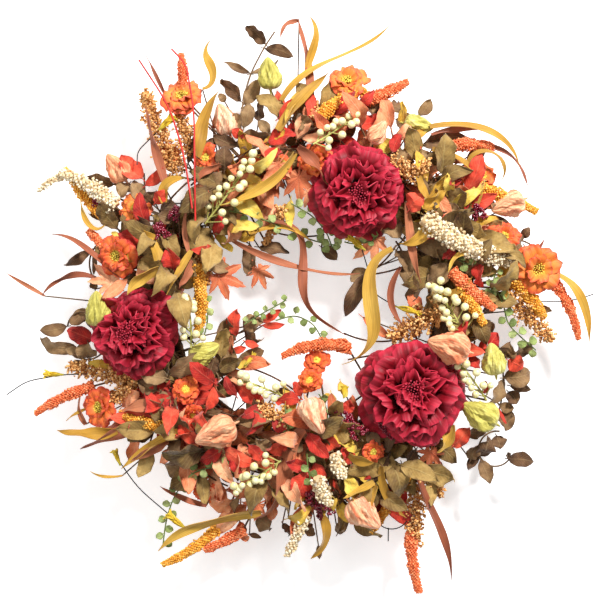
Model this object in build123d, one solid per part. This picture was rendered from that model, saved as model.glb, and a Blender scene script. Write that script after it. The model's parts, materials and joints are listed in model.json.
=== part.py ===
"""Harvest door wreath: a twisted vine ring with wired-on flowers, leaves, grasses, berries and pods.

The frame is the hanging wreath's: +Z up, the front faces -Y, and the origin is the point where a door hook
bears inside the top of the hanger loop. Places below are (x, z) seen from the front, in millimetres from
the ring's own centre, and everything is moved to the frame's origin as it is written out.
"""

from build123d import *
import math
import os

# ---- driving dimensions, mm ----
RING_RADIUS = 150.0  # centre line of the vine ring
STRAND_COUNT = 6
STRAND_LAY = 11.0  # centre of a strand from the centre line of the ring
STRAND_RADIUS = 5.0
CORE_RADIUS = 5.2
TIE_COUNT = 11
TIE_WIRE = 0.8
HANGER_WIRE = 1.0
HANGER_WIDTH = 36.0
HANGER_HEIGHT = 46.0
HANGER_CORNER = 5.0
EYE_WIRE = 0.8
EYE_RADIUS = 2.2
EYE_SPREAD = 10.0  # each eye from the middle of the hanger
SHEET = 0.8  # stiffened fabric of leaves and blades

# How the foliage builds up in front of the ring
EDGE_DEPTH = 12.0
BODY_DEPTH = 40.0
BODY_SPREAD = 68.0
LAYER_STEP = 8.0
LEAF_SINK = 7.0  # a leaf's foot lies this much deeper than its tip
FILL_LEAVES = 220  # leaves pushed straight into the vine, under everything else
FILL_LENGTH = 50.0
FILL_WIDTH = 16.0
FILL_TWIGS = 54
SPRAYS = 72  # leafy stems pushed into the vine among the flowers
SPRAY_LEAVES = 5
SPRAY_LEAF = 35.0  # length of one leaf
SPRAY_WIDTHS = {"olive_fill_leaves": 15.0, "peach_leaves": 12.0, "yellow_leaves": 10.0, "red_leaves": 12.0}
SPRAY_OUTER = 206.0  # how far from the ring's centre the sprays reach, and how near they come to it
SPRAY_INNER = (112.0, 16.0, 10.0)  # the mean, and how much it changes to the right and to the top
THICK_PARTS = (  # where more sprays stand: first and last turn in degrees, nearest and farthest reach, number
    (195.0, 330.0, 176.0, 226.0, 24), (15.0, 65.0, 172.0, 206.0, 8), (150.0, 190.0, 176.0, 214.0, 5),
)
GOLDEN_ANGLE = 137.508

BUNDLE_RADIUS = STRAND_LAY + STRAND_RADIUS
TIE_RADIUS = BUNDLE_RADIUS + TIE_WIRE + 0.2
HANGER_BACK = TIE_RADIUS + TIE_WIRE + EYE_RADIUS + EYE_WIRE - 0.4
HOOK_HEIGHT = RING_RADIUS + HANGER_HEIGHT - HANGER_WIRE
TO_FRAME = Pos(0, -HANGER_BACK, -HOOK_HEIGHT)

FRONT = Vector(0, -1, 0)

# ---- the layout, by species: (foot x, foot z, tip x, tip z, width) ----
BROWN_LEAVES = [
    # tall spray at the top left
    (-41, 268, -60, 286, 12), (-41, 262, -12, 252, 12), (-57, 237, -83, 248, 6), (-55, 236, -26, 248, 6),
    (-65, 206, -86, 229, 12), (-63, 203, -47, 229, 11), (-65, 176, -80, 187, 14),
    (-62, 177, -56, 203, 13), (-47, 184, -44, 204, 12), (-69, 158, -35, 170, 18),
    (-69, 158, -93, 169, 11), (-81, 134, -81, 158, 13), (-35, 171, -47, 184, 9),
    (-107, 148, -92, 167, 12), (-118, 141, -109, 171, 8), (-82, 206, -88, 214, 7),
    # upper left
    (-196, 121, -225, 128, 15), (-179, 122, -188, 108, 15), (-164, 100, -175, 125, 12),
    (-156, 99, -150, 113, 13), (-183, 88, -219, 91, 17), (-182, 85, -152, 71, 17),
    (-132, 85, -147, 88, 14), (-145, 94, -128, 96, 13), (-219, 54, -247, 38, 9), (-217, 52, -215, 29, 5),
    (-215, 14, -216, 24, 8), (-104, 45, -74, 33, 13), (-47, 57, -16, 52, 13), (-56, 60, -57, 28, 13),
    (-72, 72, -44, 78, 10), (-96, 118, -84, 132, 11), (-140, 68, -148, 54, 12), (-120, 84, -108, 62, 11),
    # left
    (-221, -8, -240, -22, 12), (-245, -24, -272, -28, 13), (-235, -46, -273, -37, 15),
    (-224, -56, -245, -48, 9), (-220, -56, -222, -36, 15), (-207, -25, -224, -14, 12),
    (-228, -60, -241, -69, 10), (-137, -73, -103, -47, 16), (-138, -76, -166, -69, 15),
    (-149, -88, -168, -78, 14), (-145, -89, -128, -112, 14),
    # lower left
    (-128, -134, -133, -157, 12), (-83, -48, -80, -15, 18), (-87, -76, -77, -38, 16),
    (-63, -28, -43, -17, 14), (-61, -29, -45, -39, 13), (-70, -60, -42, -48, 14),
    (-96, -74, -90, -55, 12), (-29, -91, -11, -91, 9), (-70, -119, -33, -118, 13),
    (-112, -119, -83, -108, 10), (-36, -145, -48, -136, 14), (-85, -165, -75, -182, 10),
    (-115, -168, -145, -164, 18), (-68, -198, -72, -214, 7), (-49, -219, -34, -231, 15),
    (-57, -239, -45, -241, 5), (-23, -226, -16, -238, 9), (-60, -100, -38, -106, 13),
    (-105, -138, -80, -150, 13), (-20, -140, -2, -148, 12),
    # lower right
    (15, -168, 33, -173, 15), (84, -154, 66, -181, 14), (86, -121, 82, -150, 10),
    (57, -169, 54, -190, 15), (112, -148, 102, -163, 11), (89, -165, 93, -183, 14),
    (138, -154, 152, -162, 5), (187, -130, 163, -132, 10), (197, -137, 201, -150, 13),
    (179, -157, 187, -137, 17), (179, -158, 167, -171, 7), (180, -161, 190, -185, 13),
    (210, -161, 235, -163, 13), (210, -160, 208, -153, 5), (170, -161, 177, -144, 13),
    (34, -237, 44, -219, 10), (47, -223, 65, -232, 7), (3, -225, 9, -238, 12), (14, -250, 15, -263, 5),
    (203, -76, 231, -71, 16), (203, -78, 185, -104, 14), (211, -85, 232, -89, 8),
    (208, -91, 217, -103, 13), (200, -105, 214, -108, 9), (199, -112, 209, -129, 13),
    (213, -112, 206, -131, 11), (36, -190, 30, -206, 12), (62, -132, 76, -142, 13),
    # right
    (124, 22, 149, 36, 17), (120, 20, 105, -4, 13), (100, 40, 112, 12, 13), (172, -35, 190, -20, 17),
    (204, -54, 208, -41, 14), (214, -55, 235, -36, 12), (143, 50, 112, 60, 17), (183, 86, 210, 77, 14),
    (223, 67, 230, 77, 9), (212, 48, 223, 70, 12), (249, 41, 265, 41, 7), (239, -6, 254, -8, 7),
    (176, 26, 160, 44, 13), (196, 6, 178, -8, 13), (160, -20, 146, -4, 13), (166, 62, 148, 74, 12),
    # upper right
    (77, 86, 96, 65, 18), (92, 52, 107, 30, 16), (65, 31, 40, -13, 14), (64, 34, 47, 22, 12),
    (17, 57, 33, 44, 11), (93, 187, 116, 178, 17), (79, 177, 63, 202, 14), (82, 191, 71, 206, 18),
    (117, 192, 129, 209, 10), (84, 201, 97, 197, 12), (119, 160, 165, 170, 15), (84, 150, 110, 142, 17),
    (105, 149, 127, 149, 10), (114, 137, 145, 141, 10), (124, 123, 147, 113, 12),
    (114, 126, 123, 106, 9), (166, 143, 184, 157, 13), (188, 106, 180, 93, 10), (190, 108, 195, 120, 7),
    (140, 97, 158, 88, 12), (28, 196, 20, 214, 12), (8, 176, -8, 190, 12),
]
RED_LEAVES = [
    (-26, 185, -28, 215, 9), (-26, 186, -2, 204, 11), (-37, 161, -9, 169, 15), (-44, 147, -22, 149, 10),
    (-62, 166, -73, 174, 9), (-165, 126, -188, 149, 18), (-161, 119, -142, 136, 11),
    (-131, 34, -137, 55, 14), (-94, 56, -112, 52, 10), (-90, 68, -83, 91, 10),
    (-216, -38, -242, -27, 14), (-91, -80, -115, -60, 14), (-70, -34, -69, -6, 11),
    (-43, -20, -24, -7, 8), (-43, -23, -21, -22, 7), (-74, -49, -60, -45, 7), (-61, -39, -47, -44, 7),
    (-99, -107, -91, -84, 10), (-41, -103, -73, -80, 13), (-69, -93, -80, -74, 9),
    (-46, -103, -57, -131, 12), (-46, -103, -65, -113, 9), (-6, -98, -29, -99, 13),
    (-106, -141, -124, -114, 12), (-106, -145, -125, -159, 12), (-82, -146, -106, -158, 12),
    (-82, -146, -50, -162, 13), (-72, -152, -65, -172, 10), (-18, -141, -38, -146, 13),
    (3, -130, 23, -154, 12), (10, -136, 35, -142, 15), (5, -164, -19, -158, 12),
    (3, -169, -10, -197, 18), (10, -160, 18, -184, 13), (46, -162, 37, -144, 12),
    (41, -112, 45, -97, 11), (-4, -95, -11, -80, 8), (-56, -142, -42, -156, 13),
    (101, 166, 117, 154, 14), (88, 151, 96, 170, 11), (104, 92, 119, 107, 16), (172, 115, 161, 94, 10),
    (156, 128, 145, 117, 9), (150, 80, 127, 89, 11), (158, 90, 168, 68, 5), (172, 40, 175, 16, 12),
    (150, 55, 137, 43, 9), (175, -48, 194, -30, 14), (165, -53, 175, -65, 11), (184, -91, 178, -79, 10),
    (206, -58, 221, -66, 16), (149, -146, 166, -126, 13), (137, -161, 142, -178, 6),
    (194, -106, 204, -123, 4), (87, -190, 103, -203, 13), (-150, 100, -138, 112, 10),
    (52, -188, 66, -200, 11), (-32, -118, -18, -130, 11), (132, 76, 118, 62, 11),
]
PEACH_LEAVES = [
    (174, 135, 131, 127, 20), (173, 69, 185, 83, 14), (205, 72, 221, 71, 6), (-108, 110, -90, 98, 12),
    (-68, -203, -99, -202, 13), (-8, 165, 1, 191, 13), (4, 181, 6, 201, 9), (-3, 166, 25, 166, 10),
    (28, 189, 41, 178, 14), (40, 199, 53, 209, 12), (-109, 105, -98, 119, 12),
    (-186, -106, -167, -89, 14), (-107, 125, -86, 141, 13), (-67, -225, -59, -245, 11),
    (-35, -204, -34, -222, 10), (60, -15, 88, -37, 9), (-94, 178, -72, 192, 14),
    (-118, -146, -106, -132, 11), (118, -8, 104, 10, 11), (-152, 20, -166, 38, 12),
]
MAPLE_LEAVES = [  # (foot x, foot z, tip x, tip z, spread)
    (-17, 152, -43, 116, 36), (-5, 142, -8, 98, 30), (80, 80, 56, 38, 36), (-182, 12, -218, 38, 30),
    (-104, 32, -58, 20, 38), (-54, 44, -36, 15, 20), (-137, -130, -121, -110, 16),
    (129, -138, 123, -172, 28), (-36, -198, -66, -212, 32), (-3, 120, 14, 96, 26),
]
YELLOW_LEAVES = [
    (28, -130, 49, -150, 13), (-17, -218, 8, -204, 10), (24, -212, 31, -198, 8), (-72, -62, -56, -62, 9),
    (36, -80, 41, -95, 8), (27, -92, 32, -112, 9), (-14, 104, -15, 77, 9), (-70, 66, -46, 74, 10),
]
MUSTARD_BLADES = [  # (width, route of (x, z) from foot to tip)
    (8, (-24, 204), (-2, 229), (43, 253), (86, 283)),
    (8, (2, 230), (4, 248), (10, 266), (5, 291)),
    (13, (-108, 146), (-104, 174), (-94, 203), (-87, 214)),
    (6, (-104, 217), (-93, 236), (-101, 251), (-94, 267)),
    (12, (-27, 172), (-3, 205), (24, 233)),
    (10, (-10, 150), (-40, 116), (-84, 97)),
    (8, (126, 178), (170, 178), (202, 164), (217, 140)),
    (8, (128, 155), (152, 146), (175, 130)),
    (5, (164, 141), (187, 152), (200, 141), (198, 124)),
    (12, (127, 92), (119, 69), (94, 59)),
    (9, (113, 126), (117, 112), (124, 102)),
    (14, (121, 92), (130, 104), (140, 111)),
    (9, (246, 32), (276, 12), (286, -8), (289, -41)),
    (14, (196, 42), (201, 25), (202, 5)),
    (11, (88, 54), (66, 26), (69, -18), (37, -62)),
    (8, (77, -163), (81, -190), (103, -218)),
    (8, (69, -179), (54, -188), (38, -195)),
    (10, (72, -183), (63, -203), (49, -221)),
    (11, (18, -216), (21, -232), (6, -260)),
    (13, (-44, -212), (-92, -219), (-121, -230), (-149, -252)),
    (9, (-126, -127), (-158, -146), (-186, -168)),
    (12, (-190, -129), (-220, -133), (-251, -129)),
    (3, (-186, -176), (-202, -177), (-218, -171)),
    (15, (-146, 42), (-155, 62), (-175, 75)),
    (13, (-144, 34), (-158, 28), (-176, 8)),
    (4, (-202, 79), (-214, 75), (-224, 90), (-229, 112)),
    (10, (-141, 100), (-139, 116), (-119, 124)),
    (8, (-113, 52), (-124, 32), (-137, 8)),
    (5, (-56, 68), (-24, 77), (8, 61)),
    (11, (44, -150), (56, -156), (68, -158)),
    (12, (148, -122), (142, -138), (132, -150)),
    (3, (-221, -107), (-232, -112), (-243, -120)),
    (6, (178, 44), (159, 50), (141, 30)),
    (8, (-6, 212), (-14, 196), (-20, 180)),
    (6, (132, 14), (146, 10), (166, 26)),
]
RUST_BLADES = [
    (9, (7, 208), (4, 232), (-1, 262), (-7, 290)),
    (5, (-6, 289), (-16, 286), (-25, 270)),
    (4, (-140, 208), (-151, 230), (-163, 254)),
    (9, (-139, 113), (-152, 163), (-162, 200)),
    (6, (-184, 26), (-203, 40), (-226, 59), (-257, 70)),
    (6, (-212, 25), (-240, 28), (-268, 8)),
    (4, (-266, 7), (-284, 18), (-305, 31)),
    (13, (-154, -122), (-192, -132), (-229, -149)),
    (10, (-136, -139), (-155, -148), (-176, -160)),
    (6, (-224, -124), (-229, -110), (-228, -94)),
    (7, (-74, 64), (-38, 46), (8, 32), (56, 30)),
    (7, (-34, 82), (-1, 40), (-4, 12), (8, -8), (42, -33)),
    (7, (97, 36), (87, 0), (99, -24)),
    (9, (101, 101), (105, 66), (116, 20)),
    (15, (0, -126), (-22, -172), (-30, -200), (-52, -218)),
    (9, (112, -166), (129, -213), (146, -252), (149, -285)),
    (6, (186, 161), (216, 141), (226, 119)),
    (6, (128, 170), (152, 176), (178, 176)),
    (6, (132, 146), (155, 144), (178, 140)),
    (12, (-6, 156), (10, 138), (27, 114)),
    (5, (-118, 92), (-120, 72), (-110, 37)),
    (9, (-112, 42), (-118, 28), (-125, 15)),
    (10, (-123, 14), (-128, 0), (-131, -10)),
    (12, (-144, -101), (-166, -104), (-189, -112)),
    (4, (225, 46), (234, 52), (243, 65)),
    (6, (-100, -206), (-126, -198), (-147, -186)),
    (7, (-84, 138), (-98, 132), (-110, 118)),
]
PEONIES = {  # (centre x, z, radius, lean of the face along x and z, depth of the head's back)
    "upper": (54, 114, 49, -0.05, -0.18, -44),
    "left": (-168, -30, 46, -0.3, 0.04, -42),
    "lower": (108, -91, 54, -0.06, 0.10, -46),
}
BLOOMS = [  # (x, z, radius, lean x, lean z, layer)
    (-125, 207, 20, 0.0, 0.75, 2), (-98, 146, 13, -0.5, 0.1, 0.2), (12, 142, 18, -0.3, -0.1, 0.5),
    (43, 223, 19, 0.0, 0.7, 2), (178, 128, 17, 0.4, 0.5, 0.8), (200, 66, 15, 0.2, 0.3, 2),
    (234, 34, 24, 0.1, 0.0, 3), (-170, 94, 16, -0.3, 0.6, 0.8), (-187, 48, 19, -0.4, -0.1, 2),
    (-206, -106, 19, -0.7, 0.0, 2), (-120, -88, 13, 0.1, 0.3, 0.3), (-112, -111, 11, 0.0, -0.5, 0.2),
    (13, -60, 12, -0.1, 0.5, 1.2), (6, -80, 12, -0.3, 0.3, 1), (-100, -191, 13, -0.2, -0.5, 0.5),
    (67, -148, 11, 0.3, -0.2, 1), (84, -200, 14, 0.0, -0.3, 0), (-26, 136, 12, 0.0, 0.4, 0.2),
    (-139, 150, 12, 0.1, 0.2, 0),
]
YELLOW_PODS = [  # (x, z, radius, direction of the tip in degrees from +X, layer)
    (-36, 229, 13, 95, 2), (-207, -10, 14, 95, 3), (189, -60, 13, 100, 3), (179, -114, 16, 150, 3),
    (112, 181, 12, -10, 1), (-104, -52, 13, 30, 1),
]
PEACH_PODS = [
    (-84, -126, 17, 205, 3), (7, -108, 15, -65, 4), (146, -44, 17, 165, 4), (56, -209, 16, -40, 3),
    (210, 101, 14, 200, 2), (72, 168, 10, 60, 2), (-190, 135, 13, 125, 1), (-80, 182, 13, 110, 1),
    (-38, 92, 11, 250, 0),
]
CREAM_BERRY_SPRAYS = {  # (foot x, z, tip x, z, number of berries, spread)
    "upper_left": [(-100, 79, -50, 148, 18, 13)],
    "left": [(-114, -45, -118, 6, 13, 11), (-17, -96, -66, -76, 11, 10)],
    "bottom": [(-24, -157, -70, -187, 15, 11)],
    "right": [(158, -30, 126, 20, 20, 15), (183, -98, 149, -56, 12, 10)],
    "top": [(8, 158, 54, 190, 13, 10)],
}
BURGUNDY_SPRAYS = [
    (58, -138, 32, -108, 34, 8), (24, -222, 3, -190, 34, 8), (-192, 107, -214, 99, 12, 6),
    (-142, 62, -148, 78, 22, 7), (-134, 82, -128, 95, 14, 5), (176, 82, 172, 98, 18, 6),
    (92, -136, 74, -120, 12, 5),
]
CREAM_SPIKES = [  # (foot, middle, tip, radius): each a gentle arc
    ((122, 82), (162, 56), (206, 42), 9), ((-194, 98), (-220, 121), (-248, 131), 7),
    ((-246, 130), (-258, 124), (-270, 114), 3), ((1, -215), (-8, -236), (-18, -256), 4.5),
    ((12, -180), (19, -188), (20, -198), 7), ((30, -156), (34, -162), (36, -170), 6),
]
MUSTARD_SPIKES = [
    ((-206, 90), (-226, 110), (-245, 137), 5), ((16, 186), (34, 204), (60, 214), 6),
    ((172, 119), (203, 108), (236, 93), 5.5), ((208, 27), (225, 10), (243, -14), 7),
    ((-109, -33), (-104, 0), (-109, 37), 6), ((-130, -124), (-158, -122), (-186, -111), 5),
    ((-88, -229), (-114, -251), (-145, -267), 5), ((102, -175), (86, -203), (68, -233), 5),
    ((154, 14), (168, -4), (178, -20), 5.5),
]
ORANGE_SPIKES = [
    ((-127, 214), (-124, 232), (-127, 253), 5), ((60, 206), (82, 213), (103, 225), 6),
    ((139, 154), (164, 162), (190, 158), 6), ((149, 30), (166, 12), (188, -4), 6),
    ((248, 28), (266, 4), (279, -36), 5), ((44, -46), (14, -42), (-21, -54), 6),
    ((-216, -85), (-246, -96), (-275, -113), 5), ((-195, 46), (-206, 60), (-219, 72), 5),
    ((-63, -232), (-82, -243), (-102, -252), 5), ((109, -236), (110, -264), (117, -295), 5.5),
]
GRAIN_PLUMES = [
    ((-128, 128), (-146, 166), (-163, 214), 12), ((-118, 150), (-122, 176), (-132, 196), 8),
    ((-166, -80), (-200, -72), (-239, -66), 10), ((-178, -86), (-186, -92), (-196, -98), 8),
    ((111, -168), (113, -205), (112, -246), 12), ((122, -160), (132, -176), (136, -194), 7),
    ((208, 14), (222, -8), (250, -32), 12), ((136, -10), (118, -18), (94, -32), 14),
    ((-14, -123), (-28, -112), (-45, -108), 9), ((91, 130), (103, 134), (115, 131), 12),
    ((-100, 24), (-104, 36), (-106, 48), 8), ((4, 184), (12, 192), (22, 196), 11),
    ((-40, 62), (-28, 84), (-20, 98), 5),
]
GREEN_VINES = [  # (route, leaves along it, leaf length)
    (((-76, 92), (-52, 88), (-18, 75), (8, 63), (34, 58)), 13, 10),
    (((-14, 100), (8, 88), (22, 72), (28, 56)), 9, 10),
    (((-30, -18), (-10, -12), (9, -21), (20, -42)), 8, 9),
    (((-62, -22), (-46, -12), (-31, -4), (-19, 3)), 9, 7),
    (((-103, -36), (-98, -16), (-101, 4)), 6, 9),
    (((-64, -160), (-114, -169), (-134, -198), (-142, -223), (-145, -247)), 17, 10),
    (((184, 24), (199, 2), (204, -21), (218, -34), (235, -48)), 12, 10),
    (((186, 6), (188, 18), (192, 32)), 6, 8),
    (((14, -92), (20, -102), (23, -116)), 4, 8),
    (((2, -150), (4, -170), (8, -184)), 5, 9),
    (((-20, -104), (-18, -118), (-16, -130)), 4, 8),
    (((40, 62), (56, 60), (72, 66)), 5, 8),
    (((150, 44), (158, 40), (166, 38)), 3, 9),
]
TENDRILS = [  # bare black wires
    ((-216, -72), (-247, -73), (-285, -80), (-305, -94)),
    ((-121, -230), (-142, -213), (-171, -188), (-190, -160)), ((236, 2), (258, 1), (280, 4), (295, 9)),
    ((58, 54), (67, 24), (71, 9), (92, -4), (120, -12)),
    ((-132, 187), (-150, 174), (-170, 154), (-170, 140)), ((222, 60), (226, 49), (228, 42)),
    ((77, -226), (85, -230), (104, -222)), ((85, -229), (85, -236), (85, -243)),
]
BUDS = [  # (foot x, z, mouth x, z, radius)
    (-247, -73, -266, -72, 4), (-122, -229, -141, -214, 5), (-188, -164, -194, -149, 4),
    (60, 54, 43, 68, 4), (92, -4, 116, -11, 2), (-147, 176, -132, 190, 6), (39, -94, 40, -84, 4),
    (-60, -62, -50, -52, 4),
]
RED_TWIGS = [
    ((-111, 93), (-120, 148), (-137, 199), (-168, 246)),
    ((-108, 81), (-109, 135), (-111, 192), (-120, 241), (-135, 257)),
]
BROWN_TWIGS = [
    ((40, -31), (53, -36), (90, -38)), ((44, -58), (60, -55), (80, -51)),
    ((-8, 164), (27, 186), (60, 202)), ((136, 91), (160, 92), (184, 95)), ((64, 29), (80, 31), (97, 36)),
    ((66, 31), (80, 42), (92, 58)), ((-132, 84), (-131, 50), (-126, 14)),
    ((-126, 88), (-125, 54), (-121, 18)), ((-138, 82), (-138, 50), (-134, 18)),
    ((-57, -66), (-36, -74), (-12, -88)), ((28, -186), (40, -199), (52, -206)),
    ((-108, -168), (-94, -178), (-78, -186)), ((-66, 146), (-40, 162), (0, 178)),
    ((20, 70), (2, 68), (-30, 72)), ((100, -28), (88, -44), (70, -60)),
]
SPRAY_STEMS = [  # main stems of the sprays that stand well clear of the ring
    ((-66, 158), (-64, 203), (-56, 236), (-41, 265), (-31, 280)), ((-160, 92), (-163, 118), (-164, 132)),
    ((-158, 86), (-180, 118), (-200, 122)), ((-206, -50), (-222, -58), (-246, -46)),
    ((-214, -30), (-224, -10), (-244, -24)), ((196, -40), (204, -76), (200, -110), (188, -130)),
    ((200, -132), (180, -158), (211, -161)), ((196, -38), (206, -56), (216, -52)),
    ((-205, 18), (-218, 52), (-212, 60)), ((70, 176), (84, 194), (112, 190)),
    ((150, 90), (186, 104), (192, 110)), ((200, 60), (222, 64), (248, 40)),
    ((-98, -150), (-112, -142), (-84, -146)),
]


# ---- geometry helpers ----
def spread_of(number, step=0.618034):
    """A value from -1 to 1 that differs from one neighbour to the next and is the same on every run."""
    return 2 * ((number * step) % 1) - 1


def surface(x, z, layer):
    """Point on the foliage at a place seen from the front: fullest over the ring, shallow at its edges."""
    off = math.hypot(x, z) - RING_RADIUS
    depth = EDGE_DEPTH + BODY_DEPTH * math.exp(-((off / BODY_SPREAD) ** 2)) + layer * LAYER_STEP
    return Vector(x, -depth, z)


def facing(lean_x, lean_z):
    return Vector(lean_x, -1, lean_z).normalized()


def in_ring(x, z, turn):
    """Point inside the vine bundle near a place, turned a few degrees round the ring."""
    angle = math.atan2(z, x) + math.radians(turn)
    return Vector(RING_RADIUS * math.cos(angle), -6, RING_RADIUS * math.sin(angle))


def sector(x, z):
    return ("upper" if z > 0 else "lower") + ("_left" if x < 0 else "_right")


def tube(radius, *points):
    """Round wire or stem: one arc through three points, or straight runs joined by tangent arcs."""
    if len(points) == 3:
        path = ThreePointArc(*points)
    else:
        sides = [(b - a).length for a, b in zip(points, points[1:])]
        radii = []
        for i in range(1, len(points) - 1):
            turn = (points[i] - points[i - 1]).get_angle(points[i + 1] - points[i])
            radii.append(0.42 * min(sides[i - 1], sides[i]) / math.tan(math.radians(turn) / 2))
        path = FilletPolyline(*points, radius=radii)
    start = Plane(origin=path @ 0, z_dir=path % 0)
    return sweep(start * Circle(radius), path)


def plate(outline, frame):
    """Flat sheet of the given outline, centred on its frame's plane."""
    return frame.location * Pos(0, 0, -SHEET / 2) * extrude(make_face(outline), SHEET)


def sheet_frame(foot, tip, roll):
    """Frame with X from foot to tip and Z towards the front, rolled about X by some degrees."""
    along = (tip - foot).normalized()
    across = along.cross(FRONT).normalized()
    normal = across.cross(along)
    if normal.dot(FRONT) < 0:
        normal = normal * -1
    return Plane(origin=foot, x_dir=along, z_dir=normal.rotate(Axis((0, 0, 0), along), roll))


def leaf(number, x0, z0, x1, z1, width, layer):
    """Leaf of the layout, its foot a little deeper in the foliage than its tip."""
    layer = layer + 0.5 * spread_of(number)
    foot = surface(x0, z0, layer) + Vector(0, LEAF_SINK, 0)
    return leaf_plate(number, foot, surface(x1, z1, layer), width)


def leaf_plate(number, foot, tip, width):
    """Pointed oval leaf with its narrow stalk behind the foot."""
    length = (tip - foot).length
    stalk, half = 0.16 * length, 0.7
    outline = [
        ThreePointArc((0, half), (0.46 * length, width / 2), (length, 0)),
        ThreePointArc((length, 0), (0.46 * length, -width / 2), (0, -half)),
        Polyline((0, -half), (-stalk, -half), (-stalk, half), (0, half)),
    ]
    return plate(outline, sheet_frame(foot, tip, 28 * spread_of(number, 0.7548)))


def vine_leaf(number, foot, tip, length):
    """Small round leaf of the green vine, on a short stalk."""
    half = 0.4
    outline = [
        ThreePointArc((0.2 * length, half), (0.6 * length, 0.38 * length), (length, 0)),
        ThreePointArc((length, 0), (0.6 * length, -0.38 * length), (0.2 * length, -half)),
        Polyline((0.2 * length, -half), (0, -half), (0, half), (0.2 * length, half)),
    ]
    return plate(outline, sheet_frame(foot, tip, 30 * spread_of(number)))


def maple_leaf(number, x0, z0, x1, z1, spread, layer):
    """Five-lobed leaf on a long stalk."""
    foot = surface(x0, z0, layer) + Vector(0, LEAF_SINK, 0)
    tip = surface(x1, z1, layer)
    length = (tip - foot).length
    heart = 0.38 * length
    reach = length - heart
    lobes = [(0, reach), (27, 0.42 * reach), (52, 0.57 * spread), (82, 0.3 * spread), (112, 0.42 * spread)]
    upper = [(heart + r * math.cos(math.radians(a)), r * math.sin(math.radians(a))) for a, r in lobes]
    upper.append((heart - 0.06 * length, 0.7))
    upper.append((0, 0.7))
    lower = [(x, -y) for x, y in reversed(upper[1:])]
    return plate(Polyline(*upper, *lower, close=True), sheet_frame(foot, tip, 16 * spread_of(number)))


def blade(number, width, route, layer):
    """Long tapered grass blade that bends within one plane."""
    layer = layer + 0.5 * spread_of(number)
    (x0, z0), (x1, z1) = route[0], route[-1]
    foot = surface(x0, z0, layer) + Vector(0, LEAF_SINK, 0)
    frame = sheet_frame(foot, surface(x1, z1, layer), 0)
    flat = [frame.to_local_coords(Vector(x, foot.Y, z)) for x, z in route]
    rise = frame.to_local_coords(surface(x1, z1, layer)).X / max(flat[-1].X, 1)
    line = Spline(*[(p.X * rise, p.Y) for p in flat])
    left, right = [], []
    for t, share in ((0, 0.55), (0.2, 0.9), (0.45, 1.0), (0.7, 0.72), (0.88, 0.36)):
        aside = (line % t).rotate(Axis.Z, 90) * (width / 2 * share)
        left.append(line @ t + aside)
        right.append(line @ t - aside)
    point = line @ 1
    outline = [Spline(*left, point), Spline(point, *reversed(right)), Line(right[0], left[0])]
    return plate(outline, frame)


def head_frame(x, z, lean_x, lean_z, depth):
    """Frame on a flower's back with Z out through its face."""
    return Plane(origin=(x, depth, z), x_dir=(1, lean_x, 0), z_dir=facing(lean_x, lean_z))


def turned(frame, *edges):
    """Solid of revolution about the frame's Z from a half profile in (radius, height)."""
    profile = make_face(Plane.XZ * Wire(edges))
    return frame.location * revolve(profile, Axis.Z)


def arc(p, q, r):
    return ThreePointArc(p, q, r).edge()


# ---- sub-parts ----
def vine_strand(phase):
    """One hoop of the twisted ring: a tilted circle that winds once round the ring's centre line."""
    tilt = math.asin(STRAND_LAY / RING_RADIUS)
    out = Vector(math.cos(phase), 0, math.sin(phase))
    round_the_ring = Vector(-math.sin(phase), 0, math.cos(phase))
    up_slope = round_the_ring * math.cos(tilt) + Vector(0, 1, 0) * math.sin(tilt)
    frame = Plane(origin=out * STRAND_LAY, x_dir=out, z_dir=out.cross(up_slope))
    return frame.location * Torus(RING_RADIUS, STRAND_RADIUS)


def around_bundle(angle, major, minor):
    """Wire ring round the vine bundle at an angle of the ring."""
    out = Vector(math.cos(angle), 0, math.sin(angle))
    along = Vector(-math.sin(angle), 0, math.cos(angle))
    return Plane(origin=out * RING_RADIUS, x_dir=out, z_dir=along).location * Torus(major, minor)


def hanger_loop():
    """Closed wire loop, standing up behind the top of the ring."""
    outline = RectangleRounded(HANGER_WIDTH, HANGER_HEIGHT, HANGER_CORNER).wire()
    middle = (0, HANGER_BACK, RING_RADIUS + HANGER_HEIGHT / 2)
    path = Plane(origin=middle, x_dir=(1, 0, 0), z_dir=FRONT) * outline
    start = Plane(origin=path @ 0, z_dir=path % 0)
    return sweep(start * Circle(HANGER_WIRE), path)


def hanger_eyes():
    """Two wire eyes that hold the loop's lower bar, each twisted into a wrap round the bundle."""
    solids = []
    for side in (-EYE_SPREAD, EYE_SPREAD):
        eye = Plane(origin=(side, HANGER_BACK, RING_RADIUS), z_dir=(1, 0, 0))
        wrap_angle = math.pi / 2 - math.asin(side / RING_RADIUS)
        solids.append(eye.location * Torus(EYE_RADIUS, EYE_WIRE))
        solids.append(around_bundle(wrap_angle, TIE_RADIUS, TIE_WIRE))
    return solids


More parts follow.
